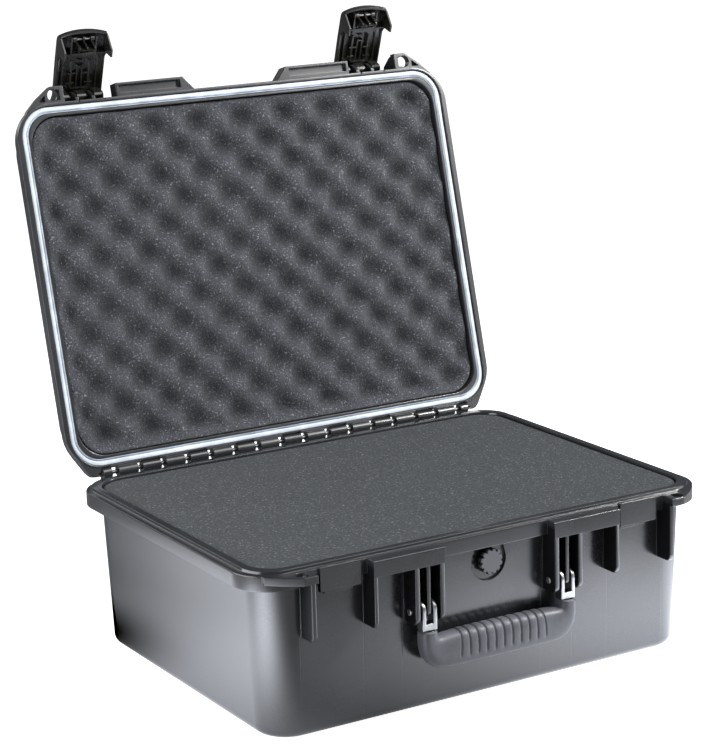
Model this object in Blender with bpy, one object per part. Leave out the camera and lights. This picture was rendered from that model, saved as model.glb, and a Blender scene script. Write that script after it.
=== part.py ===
"""Hard equipment case with its lid open.

A moulded plastic case: base and lid shells joined by a row of hinge knuckles on two steel pins, a
rubber gasket in the lid rim, two latches on the lid, a folding carry handle with a rubber grip, a
screw-in pressure valve and fitted foam.

Objects are in metres; the constants and helper functions below work in millimetres.
Frame: origin at the centre of the underside, +Z up, +X to the right, -Y the latch and handle side.
The lid and latches are described in their closed position and turned open by their hinge empties.
"""

import math

import bmesh
import bpy
from mathutils import Vector

for old_object in list(bpy.data.objects):
    bpy.data.objects.remove(old_object, do_unlink=True)

MM = 0.001
MERGE_DIST = 1e-6            # metres, clean-up distance after Booleans
SIDES = (("left", -1), ("right", 1))

# ---------------------------------------------------------------- driving dimensions
# Outlines are (half width, half depth, corner radius).
CORNER_STEPS = 6
FLANGE = (244.0, 178.5, 38.0)            # both rims
FLANGE_BEVEL = 1.2
BODY_BOTTOM = (224.0, 168.5, 32.0)
BODY_TOP = (231.0, 170.8, 36.0)
BODY_TOP_Z = 150.5
BASE_RIM_Z = 154.5                       # top of the base flange
BASE_LIP_Z = 157.4                       # top of the sealing lip
FLOOR = 4.5                              # floor thickness
CAVITY_LOW, CAVITY_LOW_Z = (220.8, 164.4), 12.0      # half width and depth inside the base
CAVITY_HIGH, CAVITY_HIGH_Z = (228.6, 165.4), 146.0
LID_RIM_Z = 156.2                        # underside of the closed lid's rim
LID_FLANGE_TOP_Z = 165.6
LID_TOP_Z = 218.0
GROOVE_OUTER = (238.4, 175.3, 30.4)      # gasket groove in the lid rim
GROOVE_INNER = (231.3, 168.2, 23.3)
GROOVE_TOP_Z = 163.1
GROOVE_WALL_Z = 158.2                    # lower edge of the groove's inner wall

PIN_R = 2.0
FIT = 0.3                                # running clearance
BORE_R = PIN_R + FIT
HINGE = (182.8, 158.8)                   # y, z
HINGE_BORE_END = 215.0
LID_OPEN = 104.5                         # degrees
KNUCKLE_R = 5.5
KNUCKLE_POCKET_R = 7.2                   # clearance cut round the facing knuckles
KNUCKLE_GAP = 0.6
WEB_INSET = 0.05                         # webs stop just short of the knuckle ends
LID_KNUCKLES = (27.0, 80.2, 132.8, 184.0)            # centres, both sides of the middle
LID_KNUCKLE_W = 21.0
BASE_KNUCKLES = (0.0, 53.6, 106.5, 158.5)
BASE_KNUCKLE_W = 20.0
END_KNUCKLE = (201.5, 211.0)

LATCH_X = 160.2                          # centre of each latch
LATCH_HALF = 25.8
LATCH_PIVOT = (-184.5, 183.0)            # y, z
LATCH_OPEN = 57.0                        # degrees
HANDLE_X = 74.3                          # centre of each handle mount
HANDLE_PIN = (-180.2, 97.5)              # y, z
FIN_Y = -190.3                           # front of the guards and brackets
VALVE = (0.0, 125.0)                     # x, z
VALVE_Y = -171.0                         # front of the valve body

# ---------------------------------------------------------------- outlines


def ring(half_x, half_y, radius, z):
    """Rounded rectangle at height z, counter-clockwise from the front right corner."""
    points = []
    for side_x, side_y, start in ((1, -1, -90), (1, 1, 0), (-1, 1, 90), (-1, -1, 180)):
        for i in range(CORNER_STEPS + 1):
            angle = math.radians(start + 90.0 * i / CORNER_STEPS)
            points.append((side_x * (half_x - radius) + radius * math.cos(angle),
                           side_y * (half_y - radius) + radius * math.sin(angle), z))
    return points


def inset(outline, distance):
    return tuple(value - distance for value in outline)


def blend(low, high, fraction):
    return tuple(a + (b - a) * fraction for a, b in zip(low, high))


def circle(centre, radius, sides=16, phase=0.0):
    angles = [phase + 2 * math.pi * i / sides for i in range(sides)]
    return [(centre[0] + radius * math.cos(a), centre[1] + radius * math.sin(a)) for a in angles]


def arc(centre, radius, start, end, steps):
    """Points from the start angle to the end angle, in degrees."""
    angles = [math.radians(start + (end - start) * i / steps) for i in range(steps + 1)]
    return [(centre[0] + radius * math.cos(a), centre[1] + radius * math.sin(a)) for a in angles]


# ---------------------------------------------------------------- solids


def loft(rings, closed=False):
    """Skin a list of equal rings; capped at both ends, or closed into a loop."""
    bm = bmesh.new()
    rows = [[bm.verts.new(Vector(point) * MM) for point in points] for points in rings]
    pairs = list(zip(rows, rows[1:]))
    if closed:
        pairs.append((rows[-1], rows[0]))
    for a, b in pairs:
        for i in range(len(a)):
            j = (i + 1) % len(a)
            bm.faces.new((a[i], a[j], b[j], b[i]))
    if not closed:
        bm.faces.new(rows[0])
        bm.faces.new(rows[-1])
    bmesh.ops.recalc_face_normals(bm, faces=bm.faces)
    return bm


def loft_outlines(rows, closed=False):
    """Loft from rows of half width, half depth, corner radius, z."""
    return loft([ring(*row) for row in rows], closed)


def prism_x(profile, start, end):
    return loft([[(x, y, z) for y, z in profile] for x in (start, end)])


def prism_y(profile, start, end):
    return loft([[(x, y, z) for x, z in profile] for y in (start, end)])


def prism_z(profile, start, end):
    return loft([[(x, y, z) for x, y in profile] for z in (start, end)])


def box(x_span, y_span, z_span):
    (left, right), (front, back) = x_span, y_span
    return prism_z([(left, front), (right, front), (right, back), (left, back)], *z_span)


def rod_x(centre, radius, start, end, sides=16):
    return prism_x(circle(centre, radius, sides, math.pi / sides), start, end)


def join(*parts):
    """Gather several solids into one mesh, without a Boolean."""
    out = bmesh.new()
    for part in parts:
        mesh = to_mesh(part, "part")
        out.from_mesh(mesh)
        bpy.data.meshes.remove(mesh)
    return out


def both(bm):
    """The solid and its reflection on the other side of the case."""
    reflection = bm.copy()
    bmesh.ops.scale(reflection, vec=(-1, 1, 1), verts=reflection.verts)
    bmesh.ops.reverse_faces(reflection, faces=reflection.faces)
    return join(bm, reflection)


def to_mesh(bm, name):
    mesh = bpy.data.meshes.new(name)
    bm.to_mesh(mesh)
    bm.free()
    return mesh


def fuse(name, body, steps):
    """Apply exact Booleans in order; steps is a list of ('UNION' or 'DIFFERENCE', bmesh)."""

    def helper(bm, suffix):
        obj = bpy.data.objects.new(name + suffix, to_mesh(bm, name + suffix))
        bpy.context.scene.collection.objects.link(obj)
        return obj

    work = helper(body, "_work")
    tools = []
    for i, (operation, bm) in enumerate(steps):
        tools.append(helper(bm, f"_tool{i}"))
        modifier = work.modifiers.new(f"step{i}", "BOOLEAN")
        modifier.operation = operation
        modifier.solver = "EXACT"
        modifier.object = tools[-1]
    bpy.context.view_layer.update()
    depsgraph = bpy.context.evaluated_depsgraph_get()
    mesh = bpy.data.meshes.new_from_object(work.evaluated_get(depsgraph))
    mesh.name = name
    for obj in [work] + tools:
        old_mesh = obj.data
        bpy.data.objects.remove(obj, do_unlink=True)
        bpy.data.meshes.remove(old_mesh)
    bm = bmesh.new()
    bm.from_mesh(mesh)
    bmesh.ops.remove_doubles(bm, verts=bm.verts, dist=MERGE_DIST)
    bmesh.ops.dissolve_degenerate(bm, edges=bm.edges, dist=MERGE_DIST)
    bm.to_mesh(mesh)
    bm.free()
    return mesh


# ---------------------------------------------------------------- materials and placing

FINISHES = {                 # base colour, roughness, metallic
    "shell": ((0.030, 0.031, 0.034), 0.42, 0.0),
    "latch": ((0.012, 0.012, 0.013), 0.28, 0.0),
    "foam": ((0.085, 0.088, 0.092), 0.95, 0.0),
    "lidfoam": ((0.060, 0.062, 0.068), 0.95, 0.0),
    "gasket": ((0.52, 0.57, 0.63), 0.55, 0.0),
    "rubber": ((0.055, 0.056, 0.060), 0.75, 0.0),
    "steel": ((0.62, 0.62, 0.63), 0.25, 1.0),
    "valve": ((0.016, 0.016, 0.017), 0.35, 0.0),
    "membrane": ((0.70, 0.70, 0.68), 0.80, 0.0),
    "seal": ((0.020, 0.020, 0.020), 0.65, 0.0),
}
SMOOTH_ANGLE = math.radians(40)
CHILD_SHIFT = {}             # pivot name: shift that puts its children back in the case frame


def material(name, finish):
    colour, roughness, metallic = FINISHES[finish]
    mat = bpy.data.materials.new(name)
    mat.use_nodes = True
    shader = mat.node_tree.nodes["Principled BSDF"]
    shader.inputs["Base Color"].default_value = (*colour, 1.0)
    shader.inputs["Roughness"].default_value = roughness
    shader.inputs["Metallic"].default_value = metallic
    mat.diffuse_color = (*colour, 1.0)
    return mat


def place(obj, parent, at):
    """Link an object whose origin is given in the closed case frame, in metres."""
    bpy.context.scene.collection.objects.link(obj)
    obj.location = at
    if parent is not None:
        obj.parent = parent
        obj.location = at + CHILD_SHIFT[parent.name]


def add(name, mesh, finish, parent=None, smooth=False):
    if isinstance(mesh, bmesh.types.BMesh):
        mesh = to_mesh(mesh, name)
    mesh.materials.clear()
    mesh.materials.append(material(name + "_finish", finish))
    place(bpy.data.objects.new(name, mesh), parent, Vector((0, 0, 0)))
    if smooth:
        mesh.shade_smooth()
        mesh.set_sharp_from_angle(angle=SMOOTH_ANGLE)


def pivot(name, at, degrees, parent=None):
    """Empty on a joint axis along X, turned from the closed position."""
    empty = bpy.data.objects.new(name, None)
    empty.empty_display_size = 0.02
    at = Vector(at) * MM
    place(empty, parent, at)
    empty.rotation_euler = (math.radians(degrees), 0, 0)
    CHILD_SHIFT[name] = -at
    return empty


# ---------------------------------------------------------------- parts of both shells


def knuckle_spans(centres, width):
    return [(side * x - width / 2, side * x + width / 2)
            for x in centres for side in ((1,) if x == 0 else (1, -1))]


def hinge_rods(radius, spans, extra=0.0, sides=16):
    return join(*[rod_x(HINGE, radius, a - extra, b + extra, sides) for a, b in spans])


def hinge_webs(profile, spans):
    return [prism_x(profile, a + WEB_INSET, b - WEB_INSET) for a, b in spans]


def ear_hole(bottom, top):
    return both(prism_z(circle(EAR_HOLE, EAR_HOLE_R), bottom, top))


LID_SPANS = knuckle_spans(LID_KNUCKLES, LID_KNUCKLE_W)
BASE_SPANS = knuckle_spans(BASE_KNUCKLES, BASE_KNUCKLE_W)
BASE_SPANS += [END_KNUCKLE, (-END_KNUCKLE[1], -END_KNUCKLE[0])]

# Ear at each front corner, (x, y).
EAR = [(188.5, -177.0), (188.5, -194.2), (202.0, -194.2), (217.5, -183.2), (229.5, -171.8),
       (230.8, -167.7), (226.5, -171.3), (219.0, -175.2), (208.0, -177.1)]
EAR_HOLE, EAR_HOLE_R = (200.0, -185.4), 6.0

# ---------------------------------------------------------------- base shell

FOOT_Z = 8.5                 # height and inset of the rounded bottom edge
FOOT = blend(BODY_BOTTOM, BODY_TOP, FOOT_Z / BODY_TOP_Z)
FLANGE_SKIRT = inset(FLANGE, 3.2)        # inside of the downturned flange edge
SKIRT_Z = 140.0
LIP_BEVEL = 0.7

# Up the outside, over the lip and down the inside: half width, half depth, corner radius, z.
BASE_OUTLINES = [
    (*inset(FOOT, FOOT_Z), 0.0),
    (*inset(FOOT, 4.25), 1.14),
    (*inset(FOOT, 1.14), 4.25),
    (*FOOT, FOOT_Z),
    (*BODY_TOP, BODY_TOP_Z),
    (*FLANGE_SKIRT, BODY_TOP_Z),
    (*FLANGE_SKIRT, SKIRT_Z),
    (*FLANGE, SKIRT_Z),
    (*FLANGE, BASE_RIM_Z - FLANGE_BEVEL),
    (*inset(FLANGE, FLANGE_BEVEL), BASE_RIM_Z),
    (237.4, 174.2, 29.4, BASE_RIM_Z),
    (236.9, 173.7, 28.9, BASE_LIP_Z - LIP_BEVEL),
    (236.2, 173.0, 28.2, BASE_LIP_Z),
    (230.0, 166.8, 28.0, BASE_LIP_Z),
    (229.3, 166.1, 28.0, BASE_LIP_Z - LIP_BEVEL),
    (*CAVITY_HIGH, 29.5, CAVITY_HIGH_Z),
    (*CAVITY_LOW, 28.0, CAVITY_LOW_Z),
    (219.0, 162.6, 26.2, 7.0),
    (214.5, 158.1, 21.7, FLOOR),
]

# Side profiles, (y, z).
BRACKET = [(FIN_Y, 139.0), (FIN_Y + 3.0, 139.0), (FIN_Y + 3.0, 151.0), (-176.6, 151.0),
           (-176.6, 154.2), (FIN_Y + 1.0, 154.2), (FIN_Y, 153.2)]
LATCH_STRIP = [(-181.0, 133.0), (-181.0, 154.8), (-180.2, 155.6), (-176.4, 155.6), (-176.4, 133.0)]
LOW_STRIP = [(-174.4, 128.6), (-174.4, 133.4), (-170.0, 133.4), (-170.0, 128.6)]
BASE_WEB = [(176.9, 147.8), (183.6, 147.8), (187.6, 152.6), (187.6, 157.0), (182.8, 158.8),
            (178.0, 154.1), (176.9, 154.1)]

# Upright fins: x from, x to, bottom z, top z, front y, back y, corner radius.
FINS = (
    (127.0, 131.4, 92.0, 153.6, FIN_Y + 0.1, -167.6, 7.0),
    (188.8, 194.0, 92.0, 153.0, FIN_Y - 0.2, -166.2, 7.0),
    (HANDLE_X - 15.6, HANDLE_X - 10.4, 86.0, 153.6, FIN_Y + 0.1, -167.6, 7.0),
    (HANDLE_X + 10.4, HANDLE_X + 15.6, 86.0, 153.6, FIN_Y + 0.1, -167.6, 7.0),
    (HANDLE_X - 2.1, HANDLE_X + 2.1, 92.0, 153.6, FIN_Y + 2.8, -167.6, 4.5),
)


def fin(start, end, bottom, top, front, back, radius):
    """Pair of guard plates: square at the top, the lower front corner rounded."""
    corner = arc((front + radius, bottom + radius), radius, 180, 270, 4)
    return both(prism_x([(back, top), (front, top)] + corner + [(back, bottom)], start, end))


def valve_recess():
    """Round pocket in the front wall, squared off at the top."""
    x, z = VALVE
    top = z + 13.2
    outline = [(x - 15.5, top)] + arc(VALVE, 18.5, 165, 375, 14) + [(x + 15.5, top)]
    return prism_y(outline, -178.0, -167.6)


def base_shell():
    front_parts = join(
        both(prism_x(BRACKET, 58.3, 131.6)),
        both(prism_z(EAR, 146.6, 154.0)),
        both(prism_x(LATCH_STRIP, LATCH_X - 21.6, LATCH_X + 19.6)))
    bores = join(
        rod_x(HINGE, BORE_R, -HINGE_BORE_END, HINGE_BORE_END),
        both(rod_x(HANDLE_PIN, BORE_R, HANDLE_X - 18.0, HANDLE_X + 18.0)),
        ear_hole(140.0, 160.0),
        valve_recess())
    return fuse("base_shell", loft_outlines(BASE_OUTLINES), [
        ("UNION", front_parts),
        ("UNION", both(prism_x(LOW_STRIP, LATCH_X - 17.0, LATCH_X + 12.0))),
        ("UNION", join(*hinge_webs(BASE_WEB, BASE_SPANS))),
        ("UNION", hinge_rods(KNUCKLE_R, BASE_SPANS)),
        ("UNION", join(*[fin(*row) for row in FINS])),
        ("DIFFERENCE", hinge_rods(KNUCKLE_POCKET_R, LID_SPANS, KNUCKLE_GAP, 20)),
        ("DIFFERENCE", bores),
        ("DIFFERENCE", prism_y(circle(VALVE, 6.5, 20), -172.0, -155.0)),
    ])


add("base_shell", base_shell(), "shell")

# ---------------------------------------------------------------- lid shell

# From the top panel down the outside, round the groove and up the inside:
# half width, half depth, corner radius, z.
LID_OUTLINES = [
    (193.0, 133.0, 12.5, 216.4),
    (195.0, 135.0, 14.0, LID_TOP_Z),
    (217.0, 157.0, 26.0, LID_TOP_Z),
    (222.6, 162.6, 29.5, 215.8),
    (225.0, 165.0, 31.5, 210.6),
    (230.8, 170.6, 35.5, LID_FLANGE_TOP_Z),
    (*inset(FLANGE, FLANGE_BEVEL), LID_FLANGE_TOP_Z),
    (*FLANGE, LID_FLANGE_TOP_Z - FLANGE_BEVEL),
    (*FLANGE, LID_RIM_Z),
    (*GROOVE_OUTER, LID_RIM_Z),
    (*GROOVE_OUTER, GROOVE_TOP_Z),
    (*GROOVE_INNER, GROOVE_TOP_Z),
    (*GROOVE_INNER, GROOVE_WALL_Z),
    (228.8, 165.7, 27.0, GROOVE_WALL_Z),
    (228.2, 165.2, 29.5, 166.0),
    (221.8, 161.2, 27.6, 208.0),
    (220.2, 159.6, 26.0, 211.8),
    (215.8, 155.2, 21.6, 213.5),
]
# Plan profiles, (x, y).
GUARD = [(45.5, -176.9), (58.4, -191.8), (132.6, -191.8), (132.6, -176.9)]
GUARD_POCKET = [(62.0, -189.4), (129.6, -189.4), (129.6, -181.4), (62.0, -181.4)]
EAR_NOTCH = [(209.0, -179.4), (209.0, -186.0), (217.4, -179.6)]
GUSSET = [(211.7, 185.2), (211.7, 176.5), (215.4, 175.8), (221.4, 173.6), (226.9, 170.4),
          (231.8, 166.3), (235.0, 162.3), (238.6, 160.4), (226.6, 179.8), (222.0, 184.4),
          (218.0, 185.2)]
# Side profiles, (y, z).
LATCH_LUG = [(-169.0, 171.0), (-183.0, 171.0), *arc(LATCH_PIVOT, 5.6, 215, 60, 7), (-169.0, 189.0)]
LID_WEB = [(175.4, 156.7), (180.0, 156.7), (181.0, 158.0), (184.2, 163.9), (175.4, 163.9)]
LID_FIN = [(-169.5, 165.0), (-177.0, 165.0), (-177.0, 157.2), (-193.0, 157.2), (-193.4, 160.0),
           (-192.0, 168.0), (-184.0, 181.0), (-169.5, 186.0)]


def lid_shell():
    rim_parts = join(
        both(prism_z(GUARD, 157.0, 171.0)),
        both(prism_z(EAR, 156.8, 164.2)),
        both(prism_z(GUSSET, 156.6, 164.8)),
        both(prism_x(LATCH_LUG, LATCH_X - 10.8, LATCH_X - 6.8)),
        both(prism_x(LATCH_LUG, LATCH_X + 6.8, LATCH_X + 10.8)),
        *hinge_webs(LID_WEB, LID_SPANS))
    knuckles = join(hinge_rods(KNUCKLE_R, LID_SPANS), both(prism_x(LID_FIN, 188.9, 193.8)))
    bores = join(
        rod_x(HINGE, BORE_R, -HINGE_BORE_END, HINGE_BORE_END),
        ear_hole(150.0, 168.0),
        both(prism_z(GUARD_POCKET, 150.0, 160.5)),
        both(rod_x(LATCH_PIVOT, BORE_R, LATCH_X - 28.0, LATCH_X + 28.0)))
    ear_pockets = join(
        both(box((192.9, 196.6), (-190.6, -180.4), (150.0, 160.5))),
        both(prism_z(EAR_NOTCH, 154.0, 160.5)))
    return fuse("lid_shell", loft_outlines(LID_OUTLINES), [
        ("UNION", rim_parts),
        ("UNION", knuckles),
        ("DIFFERENCE", hinge_rods(KNUCKLE_POCKET_R, BASE_SPANS, KNUCKLE_GAP, 20)),
        ("DIFFERENCE", bores),
        ("DIFFERENCE", ear_pockets),
    ])


lid_pivot = pivot("lid_axis", (0, *HINGE), -LID_OPEN)
add("lid_shell", lid_shell(), "shell", lid_pivot)

# ---------------------------------------------------------------- gasket

GASKET_OUTER = inset(GROOVE_OUTER, 0.3)
GASKET_INNER = inset(GROOVE_INNER, -0.4)
GASKET_BOTTOM_Z, GASKET_TOP_Z = 158.4, 162.7

add("lid_gasket", loft_outlines([
    (*GASKET_OUTER, GASKET_BOTTOM_Z), (*GASKET_OUTER, GASKET_TOP_Z),
    (*GASKET_INNER, GASKET_TOP_Z), (*GASKET_INNER, GASKET_BOTTOM_Z)], closed=True),
    "gasket", lid_pivot)

# ---------------------------------------------------------------- foam

FOAM_TOP = 156.0
FOAM_SPLITS = (25.0, 90.2)   # heights between the three base layers
SPLIT_HALF = 0.2             # half the gap between layers
LID_FOAM_OUTLINES = [        # half width, half depth, corner radius, z
    (227.6, 164.8, 28.9, 161.6), (227.2, 164.4, 28.6, 167.0), (221.1, 160.5, 27.0, 207.6),
    (219.5, 158.9, 25.4, 211.2), (215.3, 154.7, 21.2, 213.0)]


def foam_at(z):
    """Outline row of the base foam, just inside the cavity wall."""
    fraction = (z - CAVITY_LOW_Z) / (CAVITY_HIGH_Z - CAVITY_LOW_Z)
    return (*inset(blend((*CAVITY_LOW, 28.5), (*CAVITY_HIGH, 30.0), fraction), 0.5), z)


def upper_foam():
    """Top layer, with a pocket in its front face behind the valve."""
    shoulder = foam_at(CAVITY_HIGH_Z)
    body = loft_outlines([foam_at(FOAM_SPLITS[1] + SPLIT_HALF), shoulder,
                          (shoulder[0] + 0.4, shoulder[1] + 0.4, 28.0, FOAM_TOP)])
    pocket = box((-15.0, 15.0), (-170.0, -157.5), (110.0, 140.0))
    return fuse("base_foam_upper", body, [("DIFFERENCE", pocket)])


add("lid_foam", loft_outlines(LID_FOAM_OUTLINES), "lidfoam", lid_pivot)
add("base_foam_pad", loft_outlines([
    (214.0, 157.6, 21.2, FLOOR + 0.4), (218.4, 162.0, 25.6, 7.2),
    foam_at(12.4), foam_at(FOAM_SPLITS[0] - SPLIT_HALF)]), "foam")
add("base_foam_lower", loft_outlines([
    foam_at(FOAM_SPLITS[0] + SPLIT_HALF), foam_at(FOAM_SPLITS[1] - SPLIT_HALF)]), "foam")
add("base_foam_upper", upper_foam(), "foam")

# ---------------------------------------------------------------- hinge pins

for side, sign in SIDES:
    ends = sorted((sign * 0.6, sign * END_KNUCKLE[1]))
    add(f"hinge_pin_{side}", rod_x(HINGE, PIN_R, *ends, 12), "steel", smooth=True)

# ---------------------------------------------------------------- pressure valve

# Ring sections about the valve axis, (radius, y).
VALVE_BODY = [(11.6, VALVE_Y), (11.6, -169.4), (6.1, -169.4), (6.1, -159.2), (3.0, -159.2),
              (3.0, VALVE_Y)]
VALVE_ORING = [(10.4, -169.1), (10.4, -167.9), (8.6, -167.9), (8.6, -169.1)]
VALVE_NUT = [(10.4, -164.8), (10.4, -160.9), (6.5, -160.9), (6.5, -164.8)]
# Cap sections: radius, notch depth, y.
VALVE_CAP = [(11.2, 1.2, -175.6), (12.0, 1.5, -174.8), (12.0, 1.5, -171.4), (9.0, 0.0, -171.4),
             (9.0, 0.0, -172.6)]
CAP_NOTCHES = 12


def turned(section, sides=24):
    """Ring of revolution about the valve axis, which runs along Y."""
    return loft([[(x, y, z) for x, z in circle(VALVE, radius, sides)] for radius, y in section],
                closed=True)


def notched(radius, depth, y):
    """Circle with every fourth point drawn in, as shallow notches."""
    points = []
    for i in range(4 * CAP_NOTCHES):
        angle = 2 * math.pi * i / (4 * CAP_NOTCHES)
        reach = radius - (depth if i % 4 == 0 else 0.0)
        points.append((VALVE[0] + reach * math.cos(angle), y, VALVE[1] + reach * math.sin(angle)))
    return points


valve_pivot = pivot("valve_axis", (VALVE[0], VALVE_Y, VALVE[1]), 0)
add("valve_body", turned(VALVE_BODY), "valve", smooth=True)
add("valve_oring", turned(VALVE_ORING), "seal", smooth=True)
add("valve_nut", turned(VALVE_NUT, 12), "valve")
add("valve_membrane", prism_y(circle(VALVE, 5.0, 20), -171.7, -171.3), "membrane", smooth=True)
add("valve_cap", loft([notched(*row) for row in VALVE_CAP]), "valve", valve_pivot)

# ---------------------------------------------------------------- carry handle

HEAD_R = 3.2                 # heads at both ends of each handle pin
PIN_STATIONS = [(-16.9, HEAD_R), (-15.9, HEAD_R), (-15.9, PIN_R),        # x from centre, radius
                (15.9, PIN_R), (15.9, HEAD_R), (16.9, HEAD_R)]
GRIP_Y = -183.6
HANDLE_SIDES = 12            # points round each handle section
CORE_R, GRIP_BORE_R = 6.0, 6.4
# Left half of the handle, arm to middle: outer edge x, z, inner edge x, z, half thickness in Y.
HANDLE_STATIONS = [
    (-82.3, 78.6, -66.9, 78.6, 8.8), (-82.4, 71.0, -66.7, 75.0, 9.0),
    (-82.0, 63.0, -66.2, 73.2, 9.3), (-80.0, 55.0, -65.0, 72.4, 9.7),
    (-76.0, 48.6, -62.8, 72.3, 10.0), (-69.5, 43.8, -59.0, 72.6, 10.2),
    (-61.0, 41.8, -54.0, 73.0, 10.4), (-50.0, 41.2, -47.0, 73.4, 10.6),
    (-36.0, 41.0, -36.0, 73.6, 10.7), (-14.0, 40.8, -14.0, 73.8, 10.8)]
PRONG = [(-178.6, 79.2), *arc(HANDLE_PIN, 8.4, -60, 188, 10), (-188.4, 79.2)]        # y, z


def handle_sections(radius=None):
    """Rings from the left arm to the right arm: round if a radius is given, else the full grip."""
    right_half = [(-outer_x, outer_z, -inner_x, inner_z, thick)
                  for outer_x, outer_z, inner_x, inner_z, thick in reversed(HANDLE_STATIONS)]
    rings = []
    for outer_x, outer_z, inner_x, inner_z, thick in HANDLE_STATIONS + right_half:
        width = math.hypot(inner_x - outer_x, inner_z - outer_z)
        dir_x, dir_z = (inner_x - outer_x) / width, (inner_z - outer_z) / width
        mid_x, mid_z = (inner_x + outer_x) / 2, (inner_z + outer_z) / 2
        across, deep = (width / 2, thick) if radius is None else (radius, radius)
        angles = [2 * math.pi * i / HANDLE_SIDES for i in range(HANDLE_SIDES)]
        rings.append([(mid_x + dir_x * across * math.cos(a), GRIP_Y + deep * math.sin(a),
                       mid_z + dir_z * across * math.cos(a)) for a in angles])
    return rings


def handle_pin(centre):
    return loft([[(centre + x, y, z) for y, z in circle(HANDLE_PIN, radius, 12)]
                 for x, radius in PIN_STATIONS])


def handle_clip(centre, name):
    """Steel block with two prongs that turn on the handle pin."""
    block = box((centre - 7.45, centre + 7.45), (-188.35, -178.65), (79.0, 85.4))
    return fuse(name, block, [
        ("UNION", join(*twin(PRONG, centre, 3.9, 7.5))),
        ("DIFFERENCE", rod_x(HANDLE_PIN, BORE_R, centre - 12.0, centre + 12.0, 12))])


def twin(profile, centre, inner, outer):
    """Two prisms along X, at equal distances either side of a centre."""
    return [prism_x(profile, centre - outer, centre - inner),
            prism_x(profile, centre + inner, centre + outer)]


handle_pivot = pivot("handle_axis", (0, *HANDLE_PIN), 0)
add("handle_core", loft(handle_sections(CORE_R)), "latch", handle_pivot, smooth=True)
add("handle_grip", loft(handle_sections() + handle_sections(GRIP_BORE_R)[::-1], closed=True),
    "rubber", handle_pivot, smooth=True)
for side, sign in SIDES:
    add(f"handle_pin_{side}", handle_pin(sign * HANDLE_X), "steel", smooth=True)
    clip_name = f"handle_clip_{side}"
    add(clip_name, handle_clip(sign * HANDLE_X, clip_name), "steel", handle_pivot)

# ---------------------------------------------------------------- latches
# Latch sections are (along, out): along from the pivot to the free end, out from the case.


def latch_section(*points):
    """The (y, z) points of a latch section, closed."""
    return [(LATCH_PIVOT[0] - out, LATCH_PIVOT[1] - along) for along, out in points]


def rect(near, far, low, high):
    """Rectangular section, near to far along the latch and low to high outwards."""
    return latch_section((near, low), (far, low), (far, high), (near, high))


BUTTON_AXIS = (59.0, 5.0)    # along, out
BUTTON_PIN = latch_section(BUTTON_AXIS)[0]
BUTTON_PIN_R = 1.2
BUTTON_BORE_R = BUTTON_PIN_R + FIT
PLATE = ((-7.5, 7.5), (-4.5, 10.6), (0.0, 12.0), (36.0, 12.5), (58.0, 12.1), (62.6, 10.6),
         (64.6, 8.4), (62.4, 8.0), (61.4, 8.8), (57.6, 9.7), (36.0, 10.0), (0.0, 9.6),
         (-3.2, 8.6), (-5.6, 6.2))
END_LIP = ((62.5, 4.2), (63.9, 4.2), (63.9, 9.0), (62.5, 9.0))
WALL = latch_section(
    (-6.6, 5.8), (-4.3, 8.4), (0.0, 9.6), (36.0, 10.1), (58.0, 9.7), (62.3, 8.5), (63.8, 7.0),
    (62.6, 2.0), (52.0, -10.5), (44.2, -10.5), (44.2, 2.0), (38.5, 5.6), (0.0, 6.0), (-4.0, 5.0))
EYE = latch_section(
    (-4.6, 7.4), (-4.8, 0.0), (-4.2, -2.4), (-2.4, -4.2), (0.0, -4.8), (2.4, -4.2), (4.2, -2.4),
    (4.8, 0.0), (4.6, 10.4), (-1.6, 10.2))
PAD = latch_section((38.8, 12.7), (38.8, 10.4), (49.5, 9.8), (58.6, 9.4), (58.6, 12.3))
HOOK = latch_section((49.6, 10.6), (51.4, 6.0), (51.4, -6.8), (52.8, -8.2), (55.0, -6.8),
                     (57.0, -1.0), (58.0, 10.4))
WEB = latch_section((56.0, 10.6), (56.4, 5.0), (60.6, 5.6), (58.4, 10.6))

END_BOW = 3.8                # how far the free end bows out in the middle
BOW_START, BOW_RAMP = 59.5, 4.0          # where the bow sets in, and over what length
SIDE_DROP = 1.8              # how far the outer face curves in at the sides
CROWN_STEPS = 8

SPRING_R, WIRE_R = 3.0, 0.45
SPRING_ALONG = 43.5
SPRING_INNER, SPRING_OUTER = 3.9, 9.7    # outward extent
SPRING_TURNS, TURN_STEPS, WIRE_SIDES = 3, 10, 6


def crowned(centre, section, half):
    """Section along X, with a bowed free end and a face that curves in towards the sides."""
    rows = []
    for i in range(CROWN_STEPS + 1):
        x = -half + 2 * half * i / CROWN_STEPS
        bow = END_BOW * (1.0 - (x / LATCH_HALF) ** 2)
        drop = SIDE_DROP * abs(x / LATCH_HALF) ** 3
        moved = [(along + bow * min(1.0, max(0.0, (along - BOW_START) / BOW_RAMP)), out - drop)
                 for along, out in section]
        rows.append([(centre + x, y, z) for y, z in latch_section(*moved)])
    bm = loft(rows)
    bmesh.ops.triangulate(bm, faces=bm.faces)
    return bm


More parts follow.
